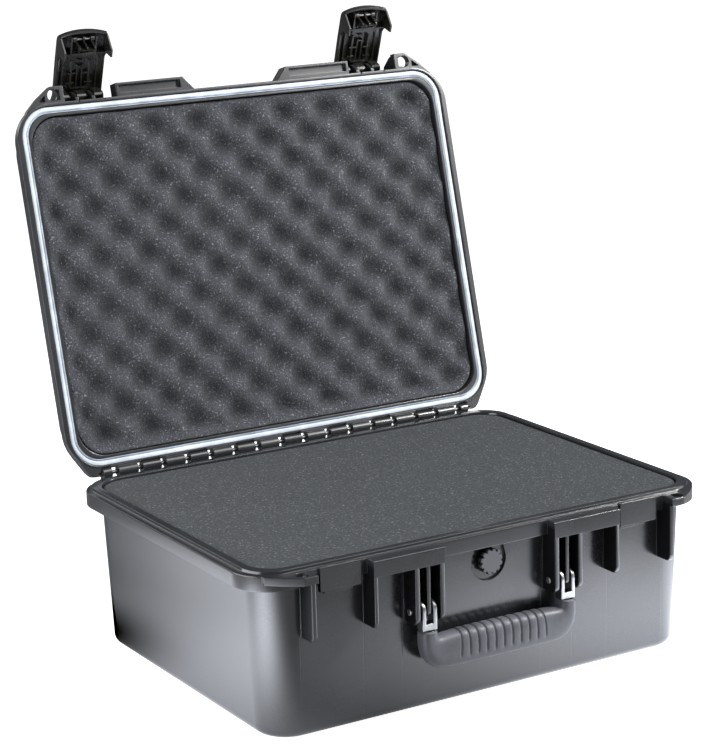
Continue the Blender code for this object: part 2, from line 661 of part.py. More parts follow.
def latch_cover(centre, name):
    def across(profile, half):
        return prism_x(profile, centre - half, centre + half)

    walls = join(*twin(WALL, centre, LATCH_HALF - 2.0, LATCH_HALF - 0.05))
    eyes = join(
        *twin(EYE, centre, 13.5, 23.4),
        across(EYE, 5.0),
        *twin(rect(40.4, 62.3, 1.6, 10.6), centre, 12.2, 13.9),
        *twin(rect(9.5, 36.2, 5.6, 10.6), centre, 8.7, 10.2))
    cross_ribs = join(
        crowned(centre, END_LIP, LATCH_HALF - 1.0),
        across(rect(41.2, 45.8, 1.8, 3.6), 13.2),
        *twin(rect(22.4, 23.6, 5.2, 10.6), centre, 4.0, 12.4),
        *twin(rect(12.2, 13.4, 5.2, 10.6), centre, 5.4, 13.6))
    short_ribs = join(
        across(rect(29.6, 30.8, 5.6, 10.6), 3.0),
        *twin(rect(44.3, 45.5, 1.0, 10.6), centre, 13.0, 24.6))
    # Bores for both pins and the window for the button.
    cuts = join(
        rod_x(LATCH_PIVOT, BORE_R, centre - 24.5, centre + 24.5),
        rod_x(BUTTON_PIN, BUTTON_BORE_R, centre - 16.0, centre + 16.0, 12),
        across(rect(37.6, 59.2, 8.2, 15.0), 12.0))
    return fuse(name, crowned(centre, PLATE, LATCH_HALF), [
        ("UNION", walls), ("UNION", eyes), ("UNION", cross_ribs), ("UNION", short_ribs),
        ("DIFFERENCE", cuts)])


def latch_button(centre, name):
    def across(profile, half):
        return prism_x(profile, centre - half, centre + half)

    boss = latch_section(*circle(BUTTON_AXIS, 2.9, 12))
    return fuse(name, across(PAD, 11.4), [
        ("UNION", across(HOOK, 8.8)),
        ("UNION", across(boss, 11.3)),
        ("UNION", across(WEB, 11.2)),
        ("DIFFERENCE", join(*twin(rect(52.9, 62.0, -12.0, 7.2), centre, 0.8, 7.4))),
        ("DIFFERENCE", rod_x(BUTTON_PIN, BUTTON_BORE_R, centre - 13.0, centre + 13.0, 12))])


def latch_spring(centre):
    """Coil spring whose axis runs outwards, with square-cut ends."""
    rings = []
    total = SPRING_TURNS * TURN_STEPS
    for i in range(total + 1):
        turn = 2 * math.pi * i / TURN_STEPS
        out = SPRING_INNER + WIRE_R + (SPRING_OUTER - SPRING_INNER - 2 * WIRE_R) * i / total
        y, z = latch_section((SPRING_ALONG, out))[0]
        radial = Vector((math.cos(turn), 0, math.sin(turn)))
        middle = Vector((centre + SPRING_R * math.cos(turn), y, z + SPRING_R * math.sin(turn)))
        angles = [2 * math.pi * j / WIRE_SIDES for j in range(WIRE_SIDES)]
        rings.append([middle + radial * WIRE_R * math.cos(a)
                      + Vector((0, 1, 0)) * WIRE_R * math.sin(a) for a in angles])
    return loft(rings)


def add_latch(side, centre):
    name = f"latch_{side}"
    axis = pivot(name + "_axis", (centre, *LATCH_PIVOT), -LATCH_OPEN, lid_pivot)
    button_axis = pivot(name + "_button_axis", (centre, *BUTTON_PIN), 0, axis)
    add(name + "_cover", latch_cover(centre, name + "_cover"), "latch", axis)
    add(name + "_button", latch_button(centre, name + "_button"), "latch", button_axis)
    pivot_pin = rod_x(LATCH_PIVOT, PIN_R, centre - 23.2, centre + 23.2, 12)
    add(name + "_pivot_pin", pivot_pin, "steel", lid_pivot, smooth=True)
    button_pin = rod_x(BUTTON_PIN, BUTTON_PIN_R, centre - 13.8, centre + 13.8, 10)
    add(name + "_button_pin", button_pin, "steel", axis, smooth=True)
    add(name + "_spring", latch_spring(centre), "steel", axis, smooth=True)


for side, sign in SIDES:
    add_latch(side, sign * LATCH_X)
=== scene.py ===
"""Hard equipment case standing open, with its foam, latches, handle, valve and studio.

Shapes are described in millimetres in the closed case's frame: origin at the centre of the
underside, +Z up, X along the width, -Y the front with the latches and +Y the back with the hinge.
LID_TURN and LATCH_TURN swing the lid and the latches to their open places. Shader lengths, lights
and camera are in metres.
"""

import math

import bmesh
import bpy
import numpy as np
from mathutils import Matrix, Vector, noise


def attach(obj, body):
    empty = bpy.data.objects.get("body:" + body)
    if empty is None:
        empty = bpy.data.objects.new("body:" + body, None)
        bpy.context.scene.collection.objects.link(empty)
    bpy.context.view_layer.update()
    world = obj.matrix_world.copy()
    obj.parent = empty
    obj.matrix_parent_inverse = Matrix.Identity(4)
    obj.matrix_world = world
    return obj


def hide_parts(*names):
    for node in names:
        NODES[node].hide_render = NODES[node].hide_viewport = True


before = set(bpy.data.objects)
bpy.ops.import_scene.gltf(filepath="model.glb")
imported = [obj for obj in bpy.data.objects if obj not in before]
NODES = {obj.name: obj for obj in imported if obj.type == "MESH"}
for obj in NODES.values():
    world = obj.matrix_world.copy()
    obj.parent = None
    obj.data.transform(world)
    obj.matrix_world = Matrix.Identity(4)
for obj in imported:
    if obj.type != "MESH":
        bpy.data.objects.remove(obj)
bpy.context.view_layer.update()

MM = 0.001
SIDES = (("left", -1), ("right", 1))

# ---------------------------------------------------------------- driving dimensions (mm)
CORNER_STEPS = 22  # segments in each rounded corner of the case

# Rounded rectangles: half width X, half depth Y, corner radius
FLANGE = (244.0, 178.5, 38.0)
BODY_BOTTOM = (224.0, 168.5, 32.0)
BODY_TOP = (231.0, 170.8, 36.0)
CAVITY_BOTTOM = (220.8, 164.4, 28.5)
CAVITY_TOP = (228.6, 165.4, 30.0)

BODY_TOP_Z = 150.5
BODY_FILLET_Z = 148.9  # where the body starts to flare into the flange
BASE_RIM_Z = 154.5
BASE_LIP_Z = 157.4
FLOOR_Z = 4.5
BOTTOM_RADIUS = 8.5
CAVITY_BOTTOM_Z = 12.0
CAVITY_TOP_Z = 146.0
LID_RIM_Z = 156.2
LID_TOP_Z = 218.0
FOAM_TOP_Z = 156.0

PIN_RADIUS = 2.0
PIN_FIT = 0.3
HINGE = (182.8, 158.8)  # y, z of the axis
KNUCKLE_RADIUS = 5.5
KNUCKLE_CLEARANCE = (7.2, 0.6)  # radius, and length added at each end
LID_KNUCKLES = (27.0, 80.2, 132.8, 184.0)
LID_KNUCKLE_WIDTH = 21.0
BASE_KNUCKLES = (0.0, 53.6, 106.5, 158.5)
BASE_KNUCKLE_WIDTH = 20.0
END_KNUCKLE = (201.5, 211.0)

LATCH_X = 160.2
LATCH_HALF = 25.8
LATCH_PIVOT = (-184.5, 183.0)  # y, z
HANDLE_X = 74.3
HANDLE_PIN = (-180.2, 97.5)  # y, z
FIN_Y = -190.3
FIN_ROOT_Y = -167.6
VALVE_X, VALVE_Z = 0.0, 125.0

LID_OPEN = 104.5  # degrees
LATCH_OPEN = 57.0


def turn_about(y, z, degrees):
    pivot = Vector((0, y, z)) * MM
    turn = Matrix.Rotation(math.radians(degrees), 4, "X")
    return Matrix.Translation(pivot) @ turn @ Matrix.Translation(-pivot)


AT_REST = Matrix.Identity(4)
LID_TURN = turn_about(*HINGE, -LID_OPEN)
LATCH_TURN = LID_TURN @ turn_about(*LATCH_PIVOT, -LATCH_OPEN)

# ---------------------------------------------------------------- outlines


def arc(cx, cy, radius, start, end, steps):
    """Points from start to end, both in degrees and included."""
    angles = [math.radians(start + (end - start) * i / steps) for i in range(steps + 1)]
    return [(cx + radius * math.cos(a), cy + radius * math.sin(a)) for a in angles]


def circle(cx, cy, radius, steps=48, start=0.0):
    angles = [start + 2 * math.pi * i / steps for i in range(steps)]
    return [(cx + radius * math.cos(a), cy + radius * math.sin(a)) for a in angles]


def ring(half_x, half_y, radius, z):
    """Rounded rectangle at one height."""
    points = []
    for side_x, side_y, start in ((1, -1, -90), (1, 1, 0), (-1, 1, 90), (-1, -1, 180)):
        for i in range(CORNER_STEPS + 1):
            angle = math.radians(start + 90.0 * i / CORNER_STEPS)
            points.append((side_x * (half_x - radius) + radius * math.cos(angle),
                           side_y * (half_y - radius) + radius * math.sin(angle), z))
    return points


def rings(*rows):
    return [ring(*row) for row in rows]


def inset(size, distance, z):
    half_x, half_y, radius = size
    return ring(half_x - distance, half_y - distance, max(radius - distance, 1.0), z)


def flange_rings(*rows):
    """Rings from rows of (distance in from the flange's edge, z)."""
    return [inset(FLANGE, *row) for row in rows]


def blend(start, end, part):
    return tuple(a + (b - a) * part for a, b in zip(start, end))


# ---------------------------------------------------------------- solids


def loft(sections, closed=False):
    """Skin over sections of equal length; closed joins the last to the first instead of capping."""
    shape = bmesh.new()
    rows = [[shape.verts.new(Vector(point) * MM) for point in section] for section in sections]
    pairs = list(zip(rows, rows[1:]))
    if closed:
        pairs.append((rows[-1], rows[0]))
    for low, high in pairs:
        count = len(low)
        for i in range(count):
            j = (i + 1) % count
            shape.faces.new((low[i], low[j], high[j], high[i]))
    if not closed:
        shape.faces.new(rows[0])
        shape.faces.new(rows[-1])
    bmesh.ops.recalc_face_normals(shape, faces=shape.faces)
    return shape


def prism_x(outline, x0, x1):
    return loft([[(x, y, z) for y, z in outline] for x in (x0, x1)])


def prism_y(outline, y0, y1):
    return loft([[(x, y, z) for x, z in outline] for y in (y0, y1)])


def prism_z(outline, z0, z1):
    return loft([[(x, y, z) for x, y in outline] for z in (z0, z1)])


def box(x0, x1, y0, y1, z0, z1):
    return prism_z([(x0, y0), (x1, y0), (x1, y1), (x0, y1)], z0, z1)


def cylinder_x(y, z, radius, x0, x1, steps=48):
    return prism_x(circle(y, z, radius, steps, math.pi / steps), x0, x1)


def bore(axis, x0, x1):
    """Tool for a pin's hole along X."""
    return cylinder_x(*axis, PIN_RADIUS + PIN_FIT, x0, x1, 24)


def turned_y(x, z, profile, steps, closed=False):
    """Turned part along Y; the profile is (radius, y)."""
    return loft([[(a, y, b) for a, b in circle(x, z, radius, steps)] for radius, y in profile],
                closed=closed)


def turned_x(y, z, profile, steps):
    """Turned part along X; the profile is (radius, x)."""
    return loft([[(x, a, b) for a, b in circle(y, z, radius, steps)] for radius, x in profile])


def chamfered_pin(axis, radius, chamfer, x0, x1, steps):
    """Plain pin along X; chamfer is (radial, axial)."""
    radial, axial = chamfer
    profile = [(radius - radial, x0), (radius, x0 + axial),
               (radius, x1 - axial), (radius - radial, x1)]
    return turned_x(*axis, profile, steps)


def rounded(shape, width, segments=2):
    """Rounds every edge sharper than 28 degrees."""
    bmesh.ops.recalc_face_normals(shape, faces=shape.faces)
    sharp = math.radians(28.0)
    edges = [e for e in shape.edges if e.is_manifold and e.calc_face_angle(0.0) > sharp]
    bmesh.ops.bevel(shape, geom=edges, offset=width * MM, offset_type="OFFSET", segments=segments,
                    profile=0.5, affect="EDGES", clamp_overlap=True)
    return shape


def join(*shapes):
    joined = bmesh.new()
    for shape in shapes:
        mesh = to_mesh(shape, "tmp")
        joined.from_mesh(mesh)
        bpy.data.meshes.remove(mesh)
    return joined


def both(shape):
    """The shape and its mirror image across X = 0."""
    mirrored = shape.copy()
    bmesh.ops.scale(mirrored, vec=(-1, 1, 1), verts=mirrored.verts)
    bmesh.ops.reverse_faces(mirrored, faces=mirrored.faces)
    return join(shape, mirrored)


def to_mesh(shape, name):
    mesh = bpy.data.meshes.new(name)
    shape.to_mesh(mesh)
    shape.free()
    return mesh


def add_object(name, data):
    added = bpy.data.objects.new(name, data)
    bpy.context.scene.collection.objects.link(added)
    return added


def fuse(name, body, add=(), cut=()):
    """Exact Booleans on body, one after another: the unions, then the cuts."""
    work = add_object(name + "_work", to_mesh(body, name + "_work"))
    steps = [("UNION", shape) for shape in add] + [("DIFFERENCE", shape) for shape in cut]
    tools = []
    for i, (operation, shape) in enumerate(steps):
        tool = add_object(f"{name}_tool{i}", to_mesh(shape, f"{name}_tool{i}"))
        tools.append(tool)
        modifier = work.modifiers.new(f"step{i}", "BOOLEAN")
        modifier.operation = operation
        modifier.solver = "EXACT"
        modifier.object = tool
    bpy.context.view_layer.update()
    evaluated = work.evaluated_get(bpy.context.evaluated_depsgraph_get())
    mesh = bpy.data.meshes.new_from_object(evaluated)
    mesh.name = name
    for used in [work] + tools:
        used_mesh = used.data
        bpy.data.objects.remove(used, do_unlink=True)
        bpy.data.meshes.remove(used_mesh)
    clean = bmesh.new()
    clean.from_mesh(mesh)
    bmesh.ops.remove_doubles(clean, verts=clean.verts, dist=2e-6)
    bmesh.ops.dissolve_degenerate(clean, edges=clean.edges, dist=2e-6)
    clean.to_mesh(mesh)
    clean.free()
    return mesh


# ---------------------------------------------------------------- materials


class Shader:
    """A new material and short calls that write its node graph."""

    def __init__(self, name):
        self.material = bpy.data.materials.new(name)
        self.material.use_nodes = True
        self.tree = self.material.node_tree
        self.surface = self.tree.nodes["Principled BSDF"]
        self.place = self.node("ShaderNodeTexCoord").outputs["Object"]

    def fill(self, node, inputs):
        """Links outputs into the node's inputs, or stores plain values in them."""
        for name, value in inputs.items():
            if hasattr(value, "node"):
                self.tree.links.new(value, node.inputs[name])
            else:
                node.inputs[name].default_value = value

    def node(self, kind, inputs=None, **properties):
        node = self.tree.nodes.new(kind)
        for name, value in properties.items():
            setattr(node, name, value)
        self.fill(node, inputs or {})
        return node

    def finish(self, inputs):
        """Fills the surface's inputs and gives back the material."""
        self.fill(self.surface, inputs)
        return self.material

    def noise(self, scale, detail=2.0, rough=0.5, vector=None, distortion=0.0):
        inputs = {"Vector": self.place if vector is None else vector, "Scale": scale,
                  "Detail": detail, "Roughness": rough, "Distortion": distortion}
        return self.node("ShaderNodeTexNoise", inputs).outputs["Fac"]

    def cells(self, scale):
        inputs = {"Vector": self.place, "Scale": scale}
        return self.node("ShaderNodeTexVoronoi", inputs, feature="F1").outputs["Distance"]

    def calc(self, operation, a, b=0.0):
        return self.node("ShaderNodeMath", {0: a, 1: b}, operation=operation).outputs[0]

    def dot(self, a, b):
        node = self.node("ShaderNodeVectorMath", {0: a, 1: b}, operation="DOT_PRODUCT")
        return node.outputs["Value"]

    def remap(self, value, start, end, to=(0.0, 1.0), smooth=False):
        """Maps start..end onto the range given by to."""
        inputs = {"Value": value, "From Min": start, "From Max": end,
                  "To Min": to[0], "To Max": to[1]}
        kind = "SMOOTHSTEP" if smooth else "LINEAR"
        node = self.node("ShaderNodeMapRange", inputs, interpolation_type=kind)
        return node.outputs["Result"]

    def mix(self, factor, first, second):
        first, second = [(*colour, 1.0) if isinstance(colour, tuple) else colour
                         for colour in (first, second)]
        node = self.node("ShaderNodeMix", data_type="RGBA", blend_type="MIX")
        self.fill(node, {0: factor, 6: first, 7: second})
        return node.outputs[2]

    def axis(self, name):
        return self.node("ShaderNodeSeparateXYZ", {0: self.place}).outputs[name]

    def bump(self, height, strength, distance, normal=None):
        inputs = {"Height": height, "Strength": strength, "Distance": distance}
        if normal is not None:
            inputs["Normal"] = normal
        return self.node("ShaderNodeBump", inputs).outputs["Normal"]

    def soft_edge(self, radius, samples=4):
        """Normal that rounds edges; the radius is in millimetres."""
        node = self.node("ShaderNodeBevel", {"Radius": radius * MM}, samples=samples)
        return node.outputs["Normal"]

    def edge_mask(self, normal):
        """About 1 on the rounded part of an edge and 0 on faces."""
        geometry = self.node("ShaderNodeNewGeometry")
        return self.remap(self.dot(normal, geometry.outputs["Normal"]), 0.97, 0.80)


def shade(colour, factor):
    return tuple(c * factor for c in colour)


def highlight(colour, factor, lift):
    return tuple(min(1.0, c * factor + lift) for c in colour)


SEAM_X = (0.1315, 0.1950, 0.0568, 0.0918)


def seam_lines(mat, normal):
    """Mould witness lines at both +X and -X, on the front wall under the guard plates."""
    x = mat.calc("ABSOLUTE", mat.axis("X"))
    lines = None
    for seam in SEAM_X:
        distance = mat.calc("ABSOLUTE", mat.calc("SUBTRACT", x, seam))
        line = mat.remap(distance, 0.00010, 0.00042, to=(1.0, 0.0), smooth=True)
        lines = line if lines is None else mat.calc("MAXIMUM", lines, line)
    front = mat.remap(mat.axis("Y"), -0.1670, -0.1640, to=(1.0, 0.0))
    low = mat.remap(mat.axis("Z"), 0.131, 0.128)
    lines = mat.calc("MULTIPLY", mat.calc("MULTIPLY", lines, front), low)
    height = mat.calc("SUBTRACT", 1.0, lines)
    return mat.bump(height, strength=0.45, distance=0.0002, normal=normal)


def paint_flank_shade(mat, base, colour, specular):
    """Paints shade onto the X-facing flanks of the front fins, which stand in each other's shade,
    and takes away most of their specular.
    """
    normal = mat.node("ShaderNodeNewGeometry").outputs["Normal"]
    across = mat.node("ShaderNodeSeparateXYZ", {0: normal}).outputs["X"]
    flank = mat.remap(mat.calc("ABSOLUTE", across), 0.60, 0.92, smooth=True)
    front = mat.remap(mat.axis("Y"), -0.1690, -0.1715, smooth=True)
    flank = mat.calc("MULTIPLY", flank, front)
    below_rim = mat.remap(mat.axis("Z"), 0.147, 0.151, to=(1.0, 0.0), smooth=True)
    flank = mat.calc("MULTIPLY", flank, below_rim)
    flank_shaded_colour = mat.mix(mat.calc("MULTIPLY", flank, 0.75), base, shade(colour, 0.25))
    lost = mat.calc("MULTIPLY", flank, specular * 0.86)
    mat.finish({"Base Color": flank_shaded_colour,
                "Specular IOR Level": mat.calc("SUBTRACT", specular, lost)})


def plastic(name, colour, rough, grain, edge, wear, specular, front_details=False):
    """Moulded plastic: pebbled grain, flow mottling and softened, slightly polished edges.

    grain is the bump's strength, edge the softening radius in mm, wear the polish on edges.
    """
    mat = Shader(name)
    fine = mat.noise(scale=1400.0, detail=3.0, rough=0.6)
    broad = mat.noise(scale=9.0, detail=4.0, rough=0.55, distortion=0.4)
    patchy = mat.noise(scale=70.0, detail=3.0)
    softened = mat.soft_edge(edge)
    worn = mat.calc("MULTIPLY", mat.edge_mask(softened),
                    mat.remap(patchy, 0.35, 0.65, to=(0.3, 1.0)))

    mottled = mat.mix(mat.remap(broad, 0.3, 0.7, smooth=True),
                      shade(colour, 0.75), shade(colour, 1.25))
    specked = mat.mix(mat.remap(fine, 0.4, 0.75, to=(0.0, 0.35)), mottled, shade(colour, 1.9))
    polished = mat.mix(mat.calc("MULTIPLY", worn, wear), specked, highlight(colour, 3.0, 0.02))

    roughness = mat.calc("ADD", mat.remap(broad, 0.3, 0.7, to=(rough - 0.04, rough + 0.05)),
                         mat.remap(fine, 0.3, 0.7, to=(-0.03, 0.05)))
    roughness = mat.calc("SUBTRACT", roughness, mat.calc("MULTIPLY", worn, 0.10))
    height = mat.calc("ADD", mat.calc("MULTIPLY", fine, 0.7),
                      mat.calc("MULTIPLY", mat.noise(scale=420.0), 0.6))
    normal = mat.bump(height, strength=grain, distance=0.00012, normal=softened)
    if front_details:
        normal = seam_lines(mat, normal)
    mat.finish({"Base Color": polished, "Roughness": roughness, "Normal": normal,
                "Specular IOR Level": specular, "Coat Roughness": 0.18})
    # the front wall's material also gets painted shade on the fins' flanks
    if front_details:
        paint_flank_shade(mat, polished, colour, specular)
    return mat.material


FOAM_CELLS = 640.0  # cell texture scale


def foam(name, colour, depth=None):
    """Open-cell foam: fine pits, painted glints on the cell walls and soft mottling.

    depth is (direction, start, end, amount): painted shade that darkens the foam along that
    direction.
    """
    mat = Shader(name)
    cells = mat.cells(FOAM_CELLS)
    large_cells = mat.cells(FOAM_CELLS * 0.43)
    fine = mat.noise(scale=FOAM_CELLS * 1.3, detail=4.0, rough=0.75)
    broad = mat.noise(scale=26.0, detail=4.0, rough=0.6)
    mottle = mat.noise(scale=180.0, detail=4.0, rough=0.7)

    grain = mat.calc("ADD", mat.calc("MULTIPLY", fine, 0.62), mat.calc("MULTIPLY", cells, 0.55))
    base = mat.mix(mat.remap(grain, 0.38, 0.78), shade(colour, 0.50), shade(colour, 1.45))
    base = mat.mix(mat.remap(broad, 0.3, 0.7, to=(0.0, 0.30), smooth=True),
                   base, shade(colour, 0.72))
    base = mat.mix(mat.remap(mottle, 0.52, 0.75, to=(0.0, 0.30)), base, shade(colour, 1.6))
    # painted glints: specks of highlight painted into the foam's colour
    painted_glint = mat.remap(mat.noise(scale=FOAM_CELLS * 0.8), 0.60, 0.72)
    painted_glint_amount = 1.0
    base = mat.mix(mat.calc("MULTIPLY", painted_glint, painted_glint_amount), base, highlight(colour, 3.6, 0.03))
    # painted shade, darkening the foam further along the given direction
    if depth is not None:
        direction, start, end, amount = depth
        along = mat.dot(mat.place, direction)
        base = mat.mix(mat.remap(along, start, end, to=(0.0, amount), smooth=True),
                       base, shade(colour, 0.22))

    height = mat.calc("ADD", mat.calc("MULTIPLY", cells, 0.8),
                      mat.calc("ADD", mat.calc("MULTIPLY", large_cells, 0.5),
                               mat.calc("MULTIPLY", fine, 0.6)))
    return mat.finish({
        "Base Color": base, "Roughness": 0.96, "Specular IOR Level": 0.18,
        "Sheen Weight": 0.07, "Sheen Roughness": 0.6,
        "Normal": mat.bump(height, strength=0.75, distance=0.0007)})


def rubber(name, colour, rough, dust=0.15, grain=0.3):
    """Rubber with soft mottling; dust is the share of pale specks, grain the bump's strength."""
    mat = Shader(name)
    fine = mat.noise(scale=1500.0, rough=0.6)
    broad = mat.noise(scale=40.0, detail=4.0, rough=0.6)
    base = mat.mix(mat.remap(broad, 0.35, 0.7, smooth=True),
                   shade(colour, 0.85), shade(colour, 1.18))
    base = mat.mix(mat.remap(fine, 0.5, 0.8, to=(0.0, dust)), base, highlight(colour, 1.6, 0.02))
    softened = mat.soft_edge(0.35, samples=3)
    return mat.finish({
        "Base Color": base,
        "Roughness": mat.remap(broad, 0.3, 0.7, to=(rough - 0.05, rough + 0.06)),
        "Normal": mat.bump(fine, strength=grain, distance=0.0001, normal=softened),
        "Specular IOR Level": 0.4})


def steel(name, colour, rough):
    """Steel with noise stretched into brush marks."""
    mat = Shader(name)
    stretched = mat.node("ShaderNodeMapping", {"Vector": mat.place, "Scale": (1.0, 14.0, 1.0)})
    brushed = mat.noise(scale=260.0, detail=3.0, rough=0.6, vector=stretched.outputs["Vector"])
    broad = mat.noise(scale=60.0, detail=3.0)
    return mat.finish({
        "Base Color": mat.mix(mat.remap(broad, 0.3, 0.7), shade(colour, 0.82), colour),
        "Roughness": mat.remap(brushed, 0.3, 0.7, to=(rough - 0.06, rough + 0.10)),
        "Metallic": 1.0,
        "Normal": mat.bump(brushed, strength=0.10, distance=0.00005, normal=mat.soft_edge(0.4))})


SHELL = plastic("shell_plastic", (0.022, 0.0228, 0.0262), rough=0.19, grain=0.14, edge=0.7,
                wear=0.30, specular=0.85, front_details=True)
LID_SHELL = plastic("lid_plastic", (0.023, 0.0238, 0.0268), rough=0.30, grain=0.14, edge=0.7,
                    wear=0.35, specular=0.75)
LATCH = plastic("latch_plastic", (0.0200, 0.0194, 0.0172), rough=0.22, grain=0.05, edge=0.35,
                wear=0.12, specular=0.6)
VALVE = plastic("valve_plastic", (0.098, 0.100, 0.112), rough=0.38, grain=0.10, edge=0.3,
                wear=0.3, specular=0.7)
BASE_FOAM = foam("base_foam", (0.046, 0.051, 0.055))
GASKET = rubber("gasket_rubber", (0.80, 0.87, 0.96), rough=0.46, dust=0.05, grain=0.12)
SEAL = rubber("seal_rubber", (0.020, 0.020, 0.020), rough=0.55)
GRIP = rubber("grip_rubber", (0.125, 0.129, 0.147), rough=0.40, dust=0.35, grain=0.35)
STEEL = steel("stainless_steel", (0.46, 0.46, 0.47), rough=0.36)
CLIP_STEEL = steel("clip_steel", (0.44, 0.45, 0.46), rough=0.30)
PIN_STEEL = steel("hinge_pin_steel", (0.20, 0.20, 0.21), rough=0.42)
VALVE_BODY = plastic("valve_body_plastic", (0.0075, 0.0075, 0.0080), rough=0.42, grain=0.10,
                     edge=0.3, wear=0.05, specular=0.35)
MEMBRANE = rubber("vent_membrane", (0.70, 0.70, 0.68), rough=0.85)

# ---------------------------------------------------------------- placing pieces


def piece(name, mesh, material, body, stands_for, turn=AT_REST, smooth=32.0, weighted=True):
    """Places a finished mesh as a visible piece that rides on a body."""
    if isinstance(mesh, bmesh.types.BMesh):
        mesh = to_mesh(mesh, name)
    mesh.name = name
    mesh.transform(turn)
    mesh.materials.clear()
    mesh.materials.append(material)
    placed = add_object(name, mesh)
    mesh.shade_smooth()
    mesh.set_sharp_from_angle(angle=math.radians(smooth))
    if weighted:
        modifier = placed.modifiers.new("normals", "WEIGHTED_NORMAL")
        modifier.mode = "FACE_AREA"
        modifier.weight = 70
        modifier.keep_sharp = True
    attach(placed, body)
    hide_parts(stands_for)


def finish_node(name, material, bevel=0.0):
    """Gives a carried-over CAD node its material and, where asked, rounded edges."""
    node = NODES[name]
    node.data.materials.clear()
    node.data.materials.append(material)
    if bevel:
        modifier = node.modifiers.new("edges", "BEVEL")
        modifier.width = bevel * MM
        modifier.segments = 2
        modifier.limit_method = "ANGLE"
        modifier.angle_limit = math.radians(30)
        modifier.harden_normals = False


# ---------------------------------------------------------------- hinge knuckles


def knuckle_spans(centres, width):
    """X ranges of knuckles at both +X and -X; one at the middle counts once."""
    return [(side * centre - width / 2, side * centre + width / 2)
            for centre in centres for side in ((1, -1) if centre else (1,))]


BASE_SPANS = knuckle_spans(BASE_KNUCKLES, BASE_KNUCKLE_WIDTH)
BASE_SPANS += [END_KNUCKLE, (-END_KNUCKLE[1], -END_KNUCKLE[0])]
LID_SPANS = knuckle_spans(LID_KNUCKLES, LID_KNUCKLE_WIDTH)


def barrels(spans):
    return join(*[rounded(cylinder_x(*HINGE, KNUCKLE_RADIUS, x0, x1), 0.5) for x0, x1 in spans])


def knuckle_feet(outline, spans):
    return join(*[prism_x(outline, x0 + 0.5, x1 - 0.5) for x0, x1 in spans])


def knuckle_clearance(spans):
    radius, extra = KNUCKLE_CLEARANCE
    return join(*[cylinder_x(*HINGE, radius, x0 - extra, x1 + extra) for x0, x1 in spans])


# ---------------------------------------------------------------- base shell

# Ears at the front corners of the lid and base, x and y
EAR = [(188.5, -177.0), (188.5, -194.2), (202.0, -194.2), (217.5, -183.2), (229.5, -171.8),
       (230.8, -167.7), (226.5, -171.3), (219.0, -175.2), (208.0, -177.1)]
EAR_HOLE = (200.0, -185.4, 6.0)  # x, y, radius

# Sections along X, y and z
BRACKET = [(FIN_Y, 139.0), (FIN_Y + 3.0, 139.0), (FIN_Y + 3.0, 151.0), (-176.6, 151.0),
           (-176.6, 154.2), (FIN_Y + 1.0, 154.2), (FIN_Y, 153.2)]
STRIKE = [(-181.0, 133.0), (-181.0, 154.8), (-180.2, 155.6), (-176.4, 155.6), (-176.4, 133.0)]
STRIKE_LOW = [(-174.4, 128.6), (-174.4, 133.4), (-170.0, 133.4), (-170.0, 128.6)]
BASE_KNUCKLE_FOOT = [(176.9, 147.8), (183.6, 147.8), (187.6, 152.6), (187.6, 157.0),
                     (182.8, 158.8), (178.0, 154.1), (176.9, 154.1)]

# x0, x1, low z, high z, front y, back y, lower corner radius, edge rounding
FINS = [
    (127.0, 131.4, 92.0, 153.6, FIN_Y + 0.1, FIN_ROOT_Y, 7.0, 1.7),
    (188.8, 194.0, 92.0, 153.0, FIN_Y - 0.2, -166.2, 7.0, 1.7),
    (HANDLE_X - 15.6, HANDLE_X - 10.4, 86.0, 153.6, FIN_Y + 0.1, FIN_ROOT_Y, 7.0, 1.7),
    (HANDLE_X + 10.4, HANDLE_X + 15.6, 86.0, 153.6, FIN_Y + 0.1, FIN_ROOT_Y, 7.0, 1.7),
    (HANDLE_X - 2.1, HANDLE_X + 2.1, 92.0, 153.6, FIN_Y + 2.8, FIN_ROOT_Y, 4.5, 1.2),
]


def ear_holes(z0, z1):
    return both(prism_z(circle(*EAR_HOLE, 40), z0, z1))


def body_at(z):
    return blend(BODY_BOTTOM, BODY_TOP, z / BODY_TOP_Z)


def base_tub():
    """The tub from its underside up the outside, over the rim and down into the cavity."""
    sections = []
    for i in range(9):
        angle = math.radians(90.0 * i / 8)
        sections.append(inset(body_at(BOTTOM_RADIUS), BOTTOM_RADIUS * (1 - math.sin(angle)),
                              BOTTOM_RADIUS * (1 - math.cos(angle))))
    for part in (0.25, 0.5, 0.75):
        z = BOTTOM_RADIUS + (BODY_FILLET_Z - BOTTOM_RADIUS) * part
        sections.append(ring(*body_at(z), z))
    sections.append(ring(*body_at(BODY_FILLET_Z), BODY_FILLET_Z))
    for flare, z in ((0.5, 150.1), (1.6, BODY_TOP_Z)):
        sections.append(ring(*[v + flare for v in BODY_TOP], z))
    sections += flange_rings(
        (3.7, BODY_TOP_Z), (3.2, 150.0), (3.2, 140.5), (2.7, 140.0), (0.9, 140.0),
        (0.27, 140.3), (0.0, 140.9), (0.0, BASE_RIM_Z - 1.6), (0.45, BASE_RIM_Z - 0.5),
        (1.5, BASE_RIM_Z))
    sections += rings(
        (237.8, 174.6, 29.8, BASE_RIM_Z), (237.4, 174.2, 29.4, BASE_RIM_Z + 0.3),
        (236.9, 173.7, 28.9, BASE_LIP_Z - 0.9), (236.6, 173.4, 28.6, BASE_LIP_Z - 0.3),
        (236.0, 172.8, 28.0, BASE_LIP_Z), (230.2, 167.0, 27.6, BASE_LIP_Z),
        (229.5, 166.3, 27.6, BASE_LIP_Z - 0.3), (229.25, 166.05, 28.0, BASE_LIP_Z - 0.9),
        (228.6, 165.4, 29.5, CAVITY_TOP_Z), (220.8, 164.4, 28.0, CAVITY_BOTTOM_Z),
        (219.0, 162.6, 26.2, 7.0), (214.5, 158.1, 21.7, FLOOR_Z))
    return loft(sections)


